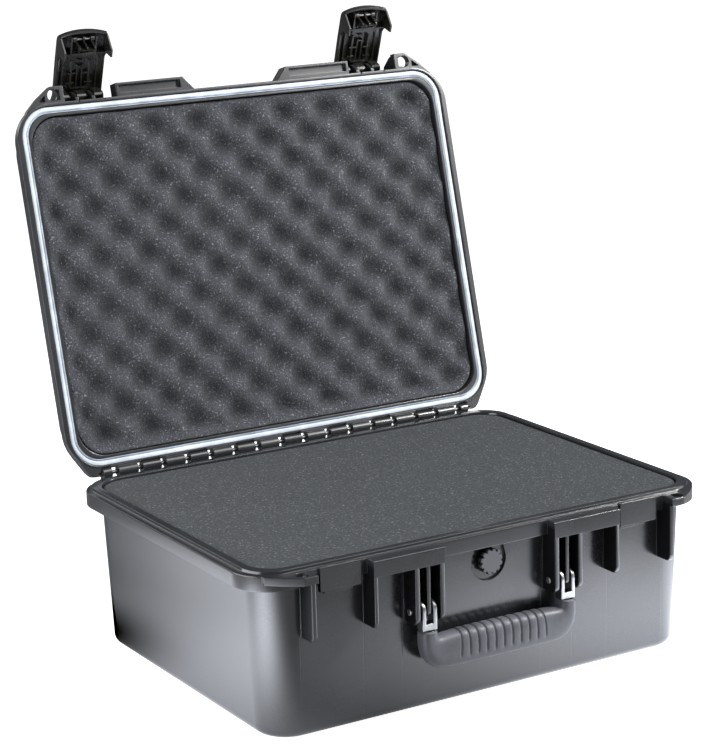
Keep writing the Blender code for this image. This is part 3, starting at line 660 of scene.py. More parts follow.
def front_fin(x0, x1, z_low, z_high, y_front, y_back, corner, edge):
    outline = [(y_back, z_high), (y_front, z_high)]
    outline += arc(y_front + corner, z_low + corner, corner, 180, 270, 12)
    outline += [(y_back, z_low)]
    return both(rounded(prism_x(outline, x0, x1), edge, 4))


def build_base_shell():
    brackets_and_strikes = join(
        both(rounded(prism_x(BRACKET, 58.3, 131.6), 0.6)),
        both(rounded(prism_z(EAR, 146.6, 154.0), 0.6)),
        both(rounded(prism_x(STRIKE, LATCH_X - 21.6, LATCH_X + 19.6), 0.5)))
    strike_details = join(
        both(rounded(prism_x(STRIKE_LOW, LATCH_X - 17.0, LATCH_X + 12.0), 0.4)),
        *[both(rounded(box(LATCH_X + x0, LATCH_X + x1, -179.6, -176.8, 153.0, 155.95), 0.4))
          for x0, x1 in ((-16.0, -6.5), (4.0, 12.5))])
    recess = [(VALVE_X - 15.5, VALVE_Z + 13.2), *arc(VALVE_X, VALVE_Z, 18.5, 165, 375, 36),
              (VALVE_X + 15.5, VALVE_Z + 13.2)]
    holes = join(
        bore(HINGE, -215.0, 215.0),
        both(bore(HANDLE_PIN, HANDLE_X - 18.0, HANDLE_X + 18.0)),
        ear_holes(140.0, 160.0),
        rounded(prism_y(recess, -178.0, -167.6), 0.5))
    valve_hole = prism_y(circle(VALVE_X, VALVE_Z, 6.5, 32), -172.0, -155.0)
    mesh = fuse("base_shell_moulding", base_tub(),
                add=(brackets_and_strikes, strike_details,
                     knuckle_feet(BASE_KNUCKLE_FOOT, BASE_SPANS), barrels(BASE_SPANS),
                     join(*[front_fin(*row) for row in FINS])),
                cut=(knuckle_clearance(LID_SPANS), holes, valve_hole))
    piece("base_shell_moulding", mesh, SHELL, "base", "base_shell")


# ---------------------------------------------------------------- lid shell (described closed)

# Plan outlines, x and y
GUARD = [(45.5, -176.9), (58.4, -191.8), (132.6, -191.8), (132.6, -176.9)]
GUARD_POCKET = [(62.0, -189.4), (129.6, -189.4), (129.6, -181.4), (62.0, -181.4)]
EAR_POCKET = [(209.0, -179.4), (209.0, -186.0), (217.4, -179.6)]
GUSSET = [(211.7, 185.2), (211.7, 176.5), *arc(206.0, 140.5, 36.5, 76, 41, 7),
          (238.6, 160.4), (226.6, 179.8), (222.0, 184.4), (218.0, 185.2)]

# Sections along X, y and z
LATCH_LUG = [(-169.0, 171.0), (-183.0, 171.0), *arc(*LATCH_PIVOT, 5.6, 215, 60, 20),
             (-169.0, 189.0)]
LID_KNUCKLE_FOOT = [(175.4, 156.7), (180.0, 156.7), (181.0, 158.0), (184.2, 163.9),
                    (175.4, 163.9)]
LID_FIN = [(-169.5, 165.0), (-177.0, 165.0), (-177.0, 157.2), (-193.0, 157.2),
           (-193.4, 160.0), (-192.0, 168.0), (-184.0, 181.0), (-169.5, 186.0)]


def lid_tub():
    """The lid from its top panel down the outside, round the rim and up the inside."""
    sections = rings(
        (192.4, 132.4, 12.0, 216.4), (193.6, 133.6, 13.0, 216.6), (194.6, 134.6, 13.8, 217.5),
        (195.6, 135.6, 14.6, LID_TOP_Z), (213.6, 153.6, 24.0, LID_TOP_Z),
        (218.4, 158.4, 27.0, 217.5), (221.8, 161.8, 29.2, 216.1), (224.0, 164.0, 30.8, 213.6),
        (225.0, 165.0, 31.5, 210.4), (227.0, 166.9, 32.9, 195.0), (229.0, 168.8, 34.3, 180.0),
        (230.8, 170.6, 35.5, 167.0), (231.4, 171.2, 36.0, 165.9), (232.5, 172.3, 37.0, 165.6))
    sections += flange_rings(
        (1.5, 165.6), (0.45, 165.15), (0.0, 164.1), (0.0, LID_RIM_Z + 0.9),
        (0.27, LID_RIM_Z + 0.3), (0.9, LID_RIM_Z))
    sections += rings(
        (238.9, 175.8, 30.9, LID_RIM_Z), (238.4, 175.3, 30.4, LID_RIM_Z + 0.5),
        (238.4, 175.3, 30.4, 163.1), (231.3, 168.2, 23.3, 163.1), (231.3, 168.2, 23.3, 158.7),
        (231.0, 167.9, 23.0, 158.3), (229.2, 166.1, 26.6, 158.2), (228.7, 165.6, 27.2, 158.6),
        (228.2, 165.2, 29.5, 166.0), (221.8, 161.2, 27.6, 208.0), (220.2, 159.6, 26.0, 211.8),
        (215.8, 155.2, 21.6, 213.5))
    return loft(sections)


def build_lid_shell():
    guards_and_lugs = join(
        both(rounded(prism_z(GUARD, 157.0, 171.0), 0.9, 3)),
        both(rounded(prism_z(EAR, 156.8, 164.2), 0.6)),
        both(rounded(prism_z(GUSSET, 156.6, 164.8), 0.5)),
        *[both(rounded(prism_x(LATCH_LUG, LATCH_X + x0, LATCH_X + x1), 0.5))
          for x0, x1 in ((-10.8, -6.8), (6.8, 10.8))],
        knuckle_feet(LID_KNUCKLE_FOOT, LID_SPANS))
    barrels_and_fins = join(barrels(LID_SPANS), both(rounded(prism_x(LID_FIN, 188.9, 193.8), 0.6)))
    holes = join(
        bore(HINGE, -215.0, 215.0),
        ear_holes(150.0, 168.0),
        both(rounded(prism_z(GUARD_POCKET, 150.0, 160.5), 0.8)),
        both(bore(LATCH_PIVOT, LATCH_X - 28.0, LATCH_X + 28.0)))
    pockets = join(
        both(prism_z(EAR_POCKET, 154.0, 160.5)),
        both(box(192.9, 196.6, -190.6, -180.4, 150.0, 160.5)),
        *[both(box(LATCH_X + x0, LATCH_X + x1, -181.0, -176.5, 155.0, 157.6))
          for x0, x1 in ((-14.6, -13.0), (13.0, 14.6))])
    mesh = fuse("lid_shell_moulding", lid_tub(), add=(guards_and_lugs, barrels_and_fins),
                cut=(knuckle_clearance(BASE_SPANS), holes, pockets))
    piece("lid_shell_moulding", mesh, LID_SHELL, "lid", "lid_shell", LID_TURN)


# ---------------------------------------------------------------- gasket

GASKET_OUTER = (238.1, 175.0, 30.1)  # half width, half depth, corner radius
# Distance in from the outer edge, z
GASKET_PROFILE = [
    (0.0, 162.7), (0.0, 159.2), (0.3, 158.6), (0.9, 158.3), (2.2, 158.1), (3.6, 158.15),
    (4.15, 158.45), (4.35, 159.1), (4.4, 161.9), (5.55, 161.9), (5.6, 159.0), (5.75, 158.5),
    (6.05, 158.3), (6.3, 158.55), (6.4, 159.1), (6.4, 162.7)]


def build_gasket():
    cord = loft([inset(GASKET_OUTER, *row) for row in GASKET_PROFILE], closed=True)
    piece("lid_gasket_cord", cord, GASKET, "lid", "lid_gasket", LID_TURN, smooth=60.0)


# ---------------------------------------------------------------- foam


def border_distance(x, y, half_x, half_y, radius):
    """Signed distance to a rounded rectangle, negative inside."""
    over_x = abs(x) - (half_x - radius)
    over_y = abs(y) - (half_y - radius)
    outside = math.hypot(max(over_x, 0.0), max(over_y, 0.0))
    return outside + min(max(over_x, over_y), 0.0) - radius


def sheet_spacing(count):
    """Even positions from -1 to 1 with extra ones close to both ends."""
    even = [-1 + 2 * i / count for i in range(count + 1)]
    extra = [1 - v / 230.0 for v in (0.25, 0.7, 1.4, 2.3, 3.4)]
    return sorted(set(even[1:-1] + [-1.0, 1.0] + extra + [-v for v in extra]))


def foam_sheet(size, counts, height, loops):
    """Closed sheet over a rounded rectangle.

    height(x, y, distance to the border) gives z; loops lists the (x scale, y scale, z) rings
    that close its sides and back.
    """
    half_x, half_y, radius = size
    shape = bmesh.new()
    grid = []
    for along_y in sheet_spacing(counts[1]):
        y = along_y * half_y
        into_corner = max(0.0, abs(y) - (half_y - radius))
        width = half_x - radius + math.sqrt(max(0.0, radius * radius - into_corner * into_corner))
        row = []
        for along_x in sheet_spacing(counts[0]):
            x = along_x * width
            inward = max(0.0, -border_distance(x, y, half_x, half_y, radius))
            row.append(shape.verts.new(Vector((x, y, height(x, y, inward))) * MM))
        grid.append(row)
    for low, high in zip(grid, grid[1:]):
        for i in range(len(low) - 1):
            shape.faces.new((low[i], low[i + 1], high[i + 1], high[i]))
    rim = grid[0] + [row[-1] for row in grid[1:-1]]
    rim += grid[-1][::-1] + [row[0] for row in grid[-2:0:-1]]
    last = rim
    for scale_x, scale_y, z in loops:
        new = [shape.verts.new(Vector((v.co.x * scale_x, v.co.y * scale_y, z * MM))) for v in rim]
        for i in range(len(rim)):
            j = (i + 1) % len(rim)
            shape.faces.new((last[i], last[j], new[j], new[i]))
        last = new
    shape.faces.new(last)
    bmesh.ops.recalc_face_normals(shape, faces=shape.faces)
    return shape


def uneven(x, y, scale, layer):
    return noise.noise(Vector((x * scale, y * scale, layer)))


def round_off(radius, inward):
    """Drop of a quarter-round edge at a distance from the arc's centre line."""
    return radius - math.sqrt(max(0.0, radius ** 2 - inward ** 2))


EGG_PITCH = (50.0, 49.0)  # X, Y
EGG_MID_Z, EGG_SWING = 5.4, 6.6  # middle above the border's z, and height of the waves


def egg_height(x, y, inward):
    """Convoluted face of the lid foam; smaller z is nearer the opening."""
    wobble = uneven(x, y, 0.013, 3.1)
    shifted_x = x - 2.0 + 2.2 * uneven(x, y, 0.012, 7.7)
    shifted_y = y + 2.2 * uneven(x, y, 0.012, 11.3)
    wave = -math.cos(2 * math.pi * shifted_x / EGG_PITCH[0])
    wave *= math.cos(2 * math.pi * shifted_y / EGG_PITCH[1])
    wave = wave * (1.0 + 0.16 * wobble)
    # the waves fade out towards the border
    inner = min(1.0, inward / 16.0)
    inner = inner * inner * (3 - 2 * inner)
    z = 161.9 + inner * (EGG_MID_Z - EGG_SWING * wave) + (1 - inner) * (0.6 - 0.9 * wave)
    z += 0.55 * uneven(x, y, 0.11, 0.5) + 0.22 * uneven(x, y, 0.42, 5.5)
    if inward < 1.6:
        z += round_off(1.6, 1.6 - inward)
    return max(z, 159.6)


def build_lid_foam():
    sheet = foam_sheet((227.7, 164.9, 29.0), (250, 180), egg_height, [
        (0.9985, 0.9985, 166.8), (0.983, 0.986, 190.0), (0.971, 0.973, 207.4),
        (0.9645, 0.965, 211.0), (0.9465, 0.940, 212.9)])
    # painted shade darkens the hollows with their depth below the foam's crests
    out = (LID_TURN.to_3x3() @ Vector((0, 0, -1))).normalized()
    crest = out.dot(LID_TURN @ (Vector((0, 0, 160.6)) * MM))
    material = foam("lid_foam", (0.074, 0.078, 0.088),
                    depth=(tuple(out), crest - 0.002, crest - 0.0135, 0.60))
    piece("lid_foam_convoluted", sheet, material, "lid", "lid_foam", LID_TURN,
          smooth=80.0, weighted=False)


def cavity(z):
    """Size of the base foam at a height, half a millimetre clear of the cavity's wall."""
    part = (z - CAVITY_BOTTOM_Z) / (CAVITY_TOP_Z - CAVITY_BOTTOM_Z)
    return tuple(v - 0.5 for v in blend(CAVITY_BOTTOM, CAVITY_TOP, part))


CUBE = 12.5  # side of the pre-cut cubes


def top_height(x, y, inward):
    """Top of the base foam, scored into cubes."""
    z = FOAM_TOP_Z - 0.5 + 0.22 * uneven(x, y, 0.02, 1.7) + 0.10 * uneven(x, y, 0.3, 2.7)
    if inward < 3.0:
        z -= round_off(1.6, 1.6 * (3.0 - inward) / 3.0)
    for position, offset in ((x, 0.0), (y, CUBE / 2)):
        distance = abs(((position + offset) / CUBE) % 1.0 - 0.5) * CUBE
        if inward > 9.0 and distance < 0.7:
            z -= 0.10 * (1 - distance / 0.7)
    return z


def build_base_foam():
    top_x, top_y = [half + 0.2 for half in cavity(CAVITY_TOP_Z)[:2]]
    low_x, low_y, _ = cavity(90.4)
    sheet = foam_sheet((top_x, top_y, 28.0), (260, 190), top_height,
                       [(0.9995, 0.9995, CAVITY_TOP_Z), (low_x / top_x, low_y / top_y, 90.4)])
    # notch behind the valve
    mesh = fuse("base_foam_top_layer", sheet, cut=(box(-15.0, 15.0, -170.0, -157.5, 110.0, 140.0),))
    piece("base_foam_top_layer", mesh, BASE_FOAM, "base", "base_foam_upper",
          smooth=60.0, weighted=False)
    middle = loft([inset(cavity(25.2), 0.8, 25.2), inset(cavity(25.2), 0.0, 26.0),
                   inset(cavity(89.2), 0.0, 89.2), inset(cavity(90.0), 0.8, 90.0)])
    piece("base_foam_mid_layer", middle, BASE_FOAM, "base", "base_foam_lower",
          smooth=60.0)
    pad = loft([ring(214.0, 157.6, 21.2, FLOOR_Z + 0.4), ring(218.4, 162.0, 25.6, 7.2),
                ring(*cavity(12.4), 12.4), inset(cavity(24.0), 0.0, 24.0),
                inset(cavity(24.8), 0.8, 24.8)])
    piece("base_foam_floor_pad", pad, BASE_FOAM, "base", "base_foam_pad",
          smooth=60.0)


# ---------------------------------------------------------------- pressure valve

# Radius, y
VALVE_BODY_PROFILE = [
    (11.6, -170.7), (11.3, -171.0), (8.4, -171.0), (8.2, -170.2), (5.6, -170.2), (5.4, -171.0),
    (3.0, -171.0), (3.0, -159.2), (5.7, -159.2), (6.1, -159.6), (6.1, -169.4), (11.6, -169.4)]
# Radius, notch depth, y
CAP_SECTIONS = [
    (10.9, 1.7, -175.6), (11.5, 1.9, -175.4), (12.0, 2.0, -174.8), (12.0, 2.0, -171.8),
    (11.7, 1.9, -171.4), (9.0, 0.0, -171.4), (9.0, 0.0, -172.6)]
CAP_NOTCHES = 12
# Share of the notch depth at each of the ten steps from one notch to the next
NOTCH_SHARES = (1.0, 1.0, 0.5, 0.0, 0.0, 0.0, 0.0, 0.0, 0.5, 1.0)


def notched(radius, depth, y):
    count = len(NOTCH_SHARES) * CAP_NOTCHES
    points = []
    for i in range(count):
        angle = 2 * math.pi * i / count
        reach = radius - depth * NOTCH_SHARES[i % len(NOTCH_SHARES)]
        points.append((VALVE_X + reach * math.cos(angle), y, VALVE_Z + reach * math.sin(angle)))
    return points


def build_valve():
    body = turned_y(VALVE_X, VALVE_Z, VALVE_BODY_PROFILE, 64, closed=True)
    piece("valve_body_moulding", body, VALVE_BODY, "base", "valve_body",
          smooth=35.0)
    angles = [2 * math.pi * i / 16 for i in range(16)]
    section = [(9.5 + 0.86 * math.cos(a), -168.5 + 0.58 * math.sin(a)) for a in angles]
    piece("valve_oring_cord", turned_y(VALVE_X, VALVE_Z, section, 64, closed=True), SEAL,
          "base", "valve_oring", smooth=70.0)
    finish_node("valve_nut", VALVE, bevel=0.3)
    finish_node("valve_membrane", MEMBRANE)
    piece("valve_cap_knob", loft([notched(*row) for row in CAP_SECTIONS]), VALVE,
          "valve_knob", "valve_cap", smooth=38.0)


# ---------------------------------------------------------------- carry handle

GRIP_Y = -183.6
# Left half, arm to middle: outer edge x, z; inner edge x, z; half thickness in Y
GRIP_STATIONS = [
    (-82.3, 78.6, -66.9, 78.6, 8.8), (-82.4, 71.0, -66.7, 75.0, 9.0),
    (-82.0, 63.0, -66.2, 73.2, 9.3), (-80.0, 55.0, -65.0, 72.4, 9.7),
    (-76.0, 48.6, -62.8, 72.3, 10.0), (-69.5, 43.8, -59.0, 72.6, 10.2),
    (-61.0, 41.8, -54.0, 73.0, 10.4), (-50.0, 41.2, -47.0, 73.4, 10.6),
    (-36.0, 41.0, -36.0, 73.6, 10.7), (-14.0, 40.8, -14.0, 73.8, 10.8)]
PATH_STEP = 0.55
RIB_PITCH = 9.1
RIB_HALF = 1.25
RIBBED_HALF = 46.5  # the ribs stop this far from the middle


def path_lengths(points):
    """Distance run at each point, over the first two columns."""
    steps = np.linalg.norm(np.diff(points[:, :2], axis=0), axis=1)
    return np.concatenate([[0], np.cumsum(steps)])


def between(at, start, end, first, second):
    return (end - at) / (end - start) * first + (at - start) / (end - start) * second


def grip_path():
    """Evenly spaced stations by Catmull-Rom: centre x, z, then the columns of GRIP_STATIONS."""
    mirrored = [(-ox, oz, -ix, iz, half) for ox, oz, ix, iz, half in reversed(GRIP_STATIONS)]
    stations = [np.array(((ox + ix) / 2, (oz + iz) / 2, ox, oz, ix, iz, half), float)
                for ox, oz, ix, iz, half in GRIP_STATIONS + mirrored]
    before = 2 * stations[0] - stations[1]
    after = 2 * stations[-1] - stations[-2]
    stations = [before] + stations + [after]
    fine = []
    for k in range(1, len(stations) - 2):
        four = stations[k - 1:k + 3]
        knots = [0.0]
        for start, end in zip(four, four[1:]):
            chord = np.linalg.norm((end - start)[:2])
            knots.append(knots[-1] + max(1e-6, chord) ** 0.5)
        count = max(4, int(np.linalg.norm((four[2] - four[1])[:2]) / 0.25))
        for i in range(count):
            at = knots[1] + (knots[2] - knots[1]) * i / count
            three = [between(at, knots[j], knots[j + 1], four[j], four[j + 1]) for j in range(3)]
            two = [between(at, knots[j], knots[j + 2], three[j], three[j + 1]) for j in range(2)]
            fine.append(between(at, knots[1], knots[2], *two))
    fine.append(stations[-2])
    fine = np.array(fine)
    run = path_lengths(fine)
    wanted = np.linspace(0, run[-1], int(run[-1] / PATH_STEP) + 1)
    return np.stack([np.interp(wanted, run, fine[:, column]) for column in range(7)], 1)


def rib_depth(x, across, rib):
    """Groove depth for finger pads on the front and top; the lower edge stays smooth."""
    distance = abs((x / RIB_PITCH + 0.5) % 1.0 - 0.5) * RIB_PITCH
    half_pad = RIB_PITCH / 2
    upper = min(1.0, max(0.0, (across + 0.42 + 0.10 * min(1.0, distance / 4.5)) / 0.10))
    groove = rib * max(0.0, 1.0 - (distance / RIB_HALF) ** 2) * upper
    return groove - 0.45 * rib * (1.0 - ((half_pad - distance) / half_pad) ** 2) * upper


def swept(steps, size=None, rib=0.0, end_round=0.0):
    """Rounded-square sections along the handle; size replaces the stations' own half sizes."""
    path = grip_path()
    run = path_lengths(path)
    sections = []
    for i in range(len(path)):
        outer_x, outer_z, inner_x, inner_z, half_y = path[i][2:]
        x, z = (outer_x + inner_x) / 2, (outer_z + inner_z) / 2
        span = math.hypot(inner_x - outer_x, inner_z - outer_z)
        normal_x, normal_z = (inner_x - outer_x) / span, (inner_z - outer_z) / span
        half_across, half_deep = (span / 2, half_y) if size is None else (size, size)
        to_end = min(run[i], run[-1] - run[i])
        if end_round and to_end < end_round:
            drop = round_off(end_round, end_round - to_end)
            half_across, half_deep = half_across - drop, half_deep - drop
        section = []
        for k in range(steps):
            angle = 2 * math.pi * k / steps
            cosine, sine = math.cos(angle), math.sin(angle)
            square = (abs(cosine) ** 2.7 + abs(sine) ** 2.7) ** (-1 / 2.7)
            groove = 0.0
            if rib and abs(x) < RIBBED_HALF:
                groove = rib_depth(x, cosine * square, rib)
            reach = half_across * cosine * square - groove * cosine
            y = GRIP_Y + half_deep * sine * square - groove * sine
            section.append((x + normal_x * reach, y, z + normal_z * reach))
        sections.append(section)
    return sections


def build_handle():
    outer = swept(60, rib=0.9, end_round=1.6)
    inner = swept(60, size=6.4)
    piece("handle_grip_sleeve", loft(outer + inner[::-1], closed=True), GRIP, "handle",
          "handle_grip", smooth=50.0, weighted=False)
    piece("handle_core_bar", loft(swept(32, size=6.0)), LATCH, "handle",
          "handle_core", smooth=50.0, weighted=False)
    for side, sign in SIDES:
        build_handle_mount(side, sign * HANDLE_X)


def build_handle_mount(side, centre):
    """Two-pronged clip at one end of the handle, and the headed pin it swings on."""
    prong = [(-178.6, 79.2), *arc(*HANDLE_PIN, 8.4, -60, 188, 28), (-188.4, 79.2)]
    bridge = rounded(box(centre - 7.45, centre + 7.45, -188.35, -178.65, 79.0, 85.4), 0.7, 3)
    prongs = join(*[rounded(prism_x(prong, centre + x0, centre + x1), 0.9, 3)
                    for x0, x1 in ((-7.5, -3.9), (3.9, 7.5))])
    name = f"handle_clip_{side}_wire"
    clip = fuse(name, bridge, add=(prongs,),
                cut=(bore(HANDLE_PIN, centre - 12.0, centre + 12.0),))
    piece(name, clip, CLIP_STEEL, "handle", f"handle_clip_{side}")

    # radius and distance from the pin's middle, end to shank
    head = [(1.6, 16.9), (2.6, 16.9), (3.2, 16.4), (3.2, 15.9), (PIN_RADIUS, 15.9)]
    profile = [(radius, centre - along) for radius, along in head]
    profile += [(radius, centre + along) for radius, along in reversed(head)]
    piece(f"handle_pin_{side}_turned", turned_x(*HANDLE_PIN, profile, 40), STEEL, "base",
          f"handle_pin_{side}", smooth=40.0)


# ---------------------------------------------------------------- hinge pins


def build_hinge_pins():
    for side, sign in SIDES:
        x0, x1 = sorted((sign * 0.6, sign * END_KNUCKLE[1]))
        piece(f"hinge_pin_{side}_turned",
              chamfered_pin(HINGE, PIN_RADIUS, (0.4, 0.5), x0, x1, 24), PIN_STEEL, "base",
              f"hinge_pin_{side}", smooth=50.0)


# ---------------------------------------------------------------- latches (described closed)


def from_pivot(*points):
    """(y, z) from (down, out): distances below the latch pivot and forward of it."""
    return [(LATCH_PIVOT[0] - out, LATCH_PIVOT[1] - down) for down, out in points]


def slab(centre, x0, x1, down0, down1, out0, out1):
    outline = from_pivot((down0, out0), (down1, out0), (down1, out1), (down0, out1))
    return prism_x(outline, centre + x0, centre + x1)


def slabs(centre, rows):
    return join(*[slab(centre, *row) for row in rows])


BUTTON_PIN = (59.0, 5.0)  # down, out
BUTTON_PIN_AXIS = from_pivot(BUTTON_PIN)[0]

# Sections, down and out
PLATE = (
    (-7.5, 7.5), (-6.4, 9.2), (-4.5, 10.6), (-2.4, 11.6), (0.0, 12.0), (36.0, 12.5),
    (58.0, 12.1), (60.6, 11.5), (62.6, 10.6), (64.6, 8.4), (62.4, 8.0), (61.4, 8.8),
    (57.6, 9.7), (36.0, 10.0), (0.0, 9.6), (-3.2, 8.6), (-5.6, 6.2))
END_WALL = ((62.5, 4.2), (63.9, 4.2), (63.9, 9.0), (62.5, 9.0))
SIDE_WALL = from_pivot(
    (-6.6, 5.8), (-4.3, 8.4), (0.0, 9.6), (36.0, 10.1), (58.0, 9.7), (62.3, 8.5), (63.8, 7.0),
    (62.6, 2.0), (52.0, -10.5), (44.2, -10.5), (44.2, 2.0), (38.5, 5.6), (0.0, 6.0), (-4.0, 5.0))
EYE = from_pivot(
    (-4.6, 7.4), (-4.8, 0.0), (-4.2, -2.4), (-2.4, -4.2), (0.0, -4.8), (2.4, -4.2),
    (4.2, -2.4), (4.8, 0.0), (4.6, 10.4), (-1.6, 10.2))
BUTTON_PAD = from_pivot((38.8, 12.7), (38.8, 10.4), (49.5, 9.8), (58.6, 9.4), (58.6, 12.3))
BUTTON_HOOK = from_pivot(
    (49.6, 10.6), (51.4, 6.0), (51.4, -6.8), (52.8, -8.2), (55.0, -6.8), (57.0, -1.0),
    (58.0, 10.4))
BUTTON_WEB = from_pivot((56.0, 10.6), (56.4, 5.0), (60.6, 5.6), (58.4, 10.6))

# Ribs inside the cover: x0, x1 from the latch's middle, down0, down1, out0, out1
LONG_RIBS = [
    (-13.9, -12.2, 40.4, 62.3, 1.6, 10.6), (12.2, 13.9, 40.4, 62.3, 1.6, 10.6),
    (-10.2, -8.7, 9.5, 36.2, 5.6, 10.6), (8.7, 10.2, 9.5, 36.2, 5.6, 10.6)]
# Each group is a union of its own, as the groups cross one another
RIB_GROUPS = [
    [(-12.4, -4.0, 22.4, 23.6, 5.2, 10.6), (4.0, 12.4, 22.4, 23.6, 5.2, 10.6),
     (-13.6, -5.4, 12.2, 13.4, 5.2, 10.6), (5.4, 13.6, 12.2, 13.4, 5.2, 10.6)],
    [(-3.0, 3.0, 29.6, 30.8, 5.6, 10.7), (-24.6, -13.0, 44.4, 45.6, 1.0, 10.6),
     (13.0, 24.6, 44.4, 45.6, 1.0, 10.6), (-8.9, 8.9, 6.6, 7.8, 5.3, 10.7),
     (-2.6, 2.6, 35.9, 37.0, 5.5, 10.7)],
    [(-3.4, -2.1, 8.6, 31.5, 6.6, 10.8), (2.1, 3.4, 8.6, 31.5, 6.6, 10.8),
     (-18.9, -17.8, 6.1, 42.8, 7.0, 10.8), (17.8, 18.9, 6.1, 42.8, 7.0, 10.8)],
]
CROWN_LIFT = 3.8  # how far the middle of the free end bows downwards
CROWN_DROP = 1.8  # how far the sides curve in towards the case
CROWN_START, CROWN_RUN = 59.5, 4.0  # the bow grows over this stretch below the pivot


def crowned(centre, section, x0, x1, steps=20):
    """Section along X with a bowed free end and an outer face that curves in at the sides."""
    rows = []
    for i in range(steps + 1):
        x = x0 + (x1 - x0) * i / steps
        lift = CROWN_LIFT * (1.0 - (x / LATCH_HALF) ** 2)
        drop = CROWN_DROP * abs(x / LATCH_HALF) ** 3
        bowed = [(down + lift * min(1.0, max(0.0, (down - CROWN_START) / CROWN_RUN)), out - drop)
                 for down, out in section]
        rows.append([(centre + x, y, z) for y, z in from_pivot(*bowed)])
    shape = loft(rows)
    bmesh.ops.triangulate(shape, faces=shape.faces)
    return shape


def latch_cover(centre, name):
    left, right = centre - LATCH_HALF, centre + LATCH_HALF
    walls = join(rounded(prism_x(SIDE_WALL, left + 0.05, left + 2.0), 0.4),
                 rounded(prism_x(SIDE_WALL, right - 2.0, right - 0.05), 0.4))
    eyes = join(*[rounded(prism_x(EYE, centre + x0, centre + x1), 0.4)
                  for x0, x1 in ((-23.4, -13.5), (13.5, 23.4), (-5.0, 5.0))],
                slabs(centre, LONG_RIBS))
    cross = join(crowned(centre, END_WALL, -LATCH_HALF + 1.0, LATCH_HALF - 1.0),
                 rounded(slab(centre, -13.2, 13.2, 41.2, 45.8, 1.8, 3.6), 0.3))
    cuts = join(bore(LATCH_PIVOT, centre - 24.5, centre + 24.5),
                cylinder_x(*BUTTON_PIN_AXIS, 1.5, centre - 16.0, centre + 16.0, 20),
                slab(centre, -12.0, 12.0, 37.6, 59.2, 8.2, 15.0))
    return fuse(name, crowned(centre, PLATE, -LATCH_HALF, LATCH_HALF),
                add=(walls, eyes, cross, *[slabs(centre, rows) for rows in RIB_GROUPS]),
                cut=(cuts,))


def latch_button(centre, name):
    def across(outline, half):
        return prism_x(outline, centre - half, centre + half)

    boss = from_pivot(*circle(*BUTTON_PIN, 2.9, 28))
    grips = slabs(centre, [(-8.5, 8.5, down, down + 1.2, 12.0, 12.9)
                           for down in (43.0, 46.0, 49.0, 52.0)])
    hook_slots = slabs(centre, [(x0, x1, 52.9, 62.0, -12.0, 7.2)
                                for x0, x1 in ((-7.4, -0.8), (0.8, 7.4))])
    pin_hole = cylinder_x(*BUTTON_PIN_AXIS, 1.5, centre - 13.0, centre + 13.0, 20)
    return fuse(name, rounded(across(BUTTON_PAD, 11.4), 0.35),
                add=(rounded(across(BUTTON_HOOK, 8.8), 0.4), across(boss, 11.3),
                     across(BUTTON_WEB, 11.2), grips),
                cut=(hook_slots, pin_hole))


def coil(centre, radius, wire, out0, out1, turns, down):
    """Coil spring along Y, between two distances forward of the pivot."""
    steps, wire_steps = 36, 12
    total = int(turns * steps)
    wire_angles = [2 * math.pi * j / wire_steps for j in range(wire_steps)]
    sections = []
    for i in range(total + 1):
        angle = 2 * math.pi * i / steps
        out = out0 + wire + (out1 - out0 - 2 * wire) * i / total
        radial = Vector((math.cos(angle), 0, math.sin(angle)))
        middle = Vector((centre + radius * math.cos(angle), LATCH_PIVOT[0] - out,
                         LATCH_PIVOT[1] - down + radius * math.sin(angle)))
        sections.append([tuple(middle + radial * wire * math.cos(a)
                               + Vector((0, 1, 0)) * wire * math.sin(a)) for a in wire_angles])
    return loft(sections)


def build_latch(side, centre):
    name = f"latch_{side}"
    cover = name + "_cover_moulding"
    piece(cover, latch_cover(centre, cover), LATCH, name, name + "_cover",
          LATCH_TURN)
    button = name + "_button_moulding"
    piece(button, latch_button(centre, button), LATCH, f"button_{side}",
          name + "_button", LATCH_TURN)
    pivot_pin = chamfered_pin(LATCH_PIVOT, PIN_RADIUS, (0.4, 0.5), centre - 23.2, centre + 23.2, 24)
    piece(name + "_pivot_pin_turned", pivot_pin, STEEL, "lid", name + "_pivot_pin",
          LID_TURN, smooth=50.0)
    button_pin = chamfered_pin(BUTTON_PIN_AXIS, 1.2, (0.3, 0.4), centre - 13.8, centre + 13.8, 20)
    piece(name + "_button_pin_turned", button_pin, PIN_STEEL, name,
          name + "_button_pin", LATCH_TURN, smooth=50.0)
    spring = coil(centre, radius=3.0, wire=0.45, out0=3.9, out1=9.7, turns=3.5, down=43.5)
    piece(name + "_spring_coil", spring, STEEL, name, name + "_spring", LATCH_TURN,
          smooth=60.0, weighted=False)


# ---------------------------------------------------------------- studio (metres)

CAMERA_AT = (-1.16896654, -1.91117446, 0.81442697)
CAMERA_AZIMUTH = 0.5366  # radians, from +Y towards +X
CAMERA_DOWN = 0.24155
CAMERA_ROLL = -0.02711
CAMERA_LENS = 118.180401  # mm, on a 36 mm sensor

# Glowing patches painted on the floor, seen only in reflections as painted light, a negative
# brightness painting a darker patch: x, y, radius along X, radius along Y, brightness
FLOOR_GLOW_POOLS = [
    (0.30, -0.25, 0.50, 0.32, 4.7), (-0.40, -0.07, 0.30, 0.46, 3.9),
    (-0.46, 0.30, 0.17, 0.27, 2.2), (-0.24, 0.17, 0.06, 0.16, -1.1),
    (-0.52, -0.24, 0.28, 0.26, 6.0)]
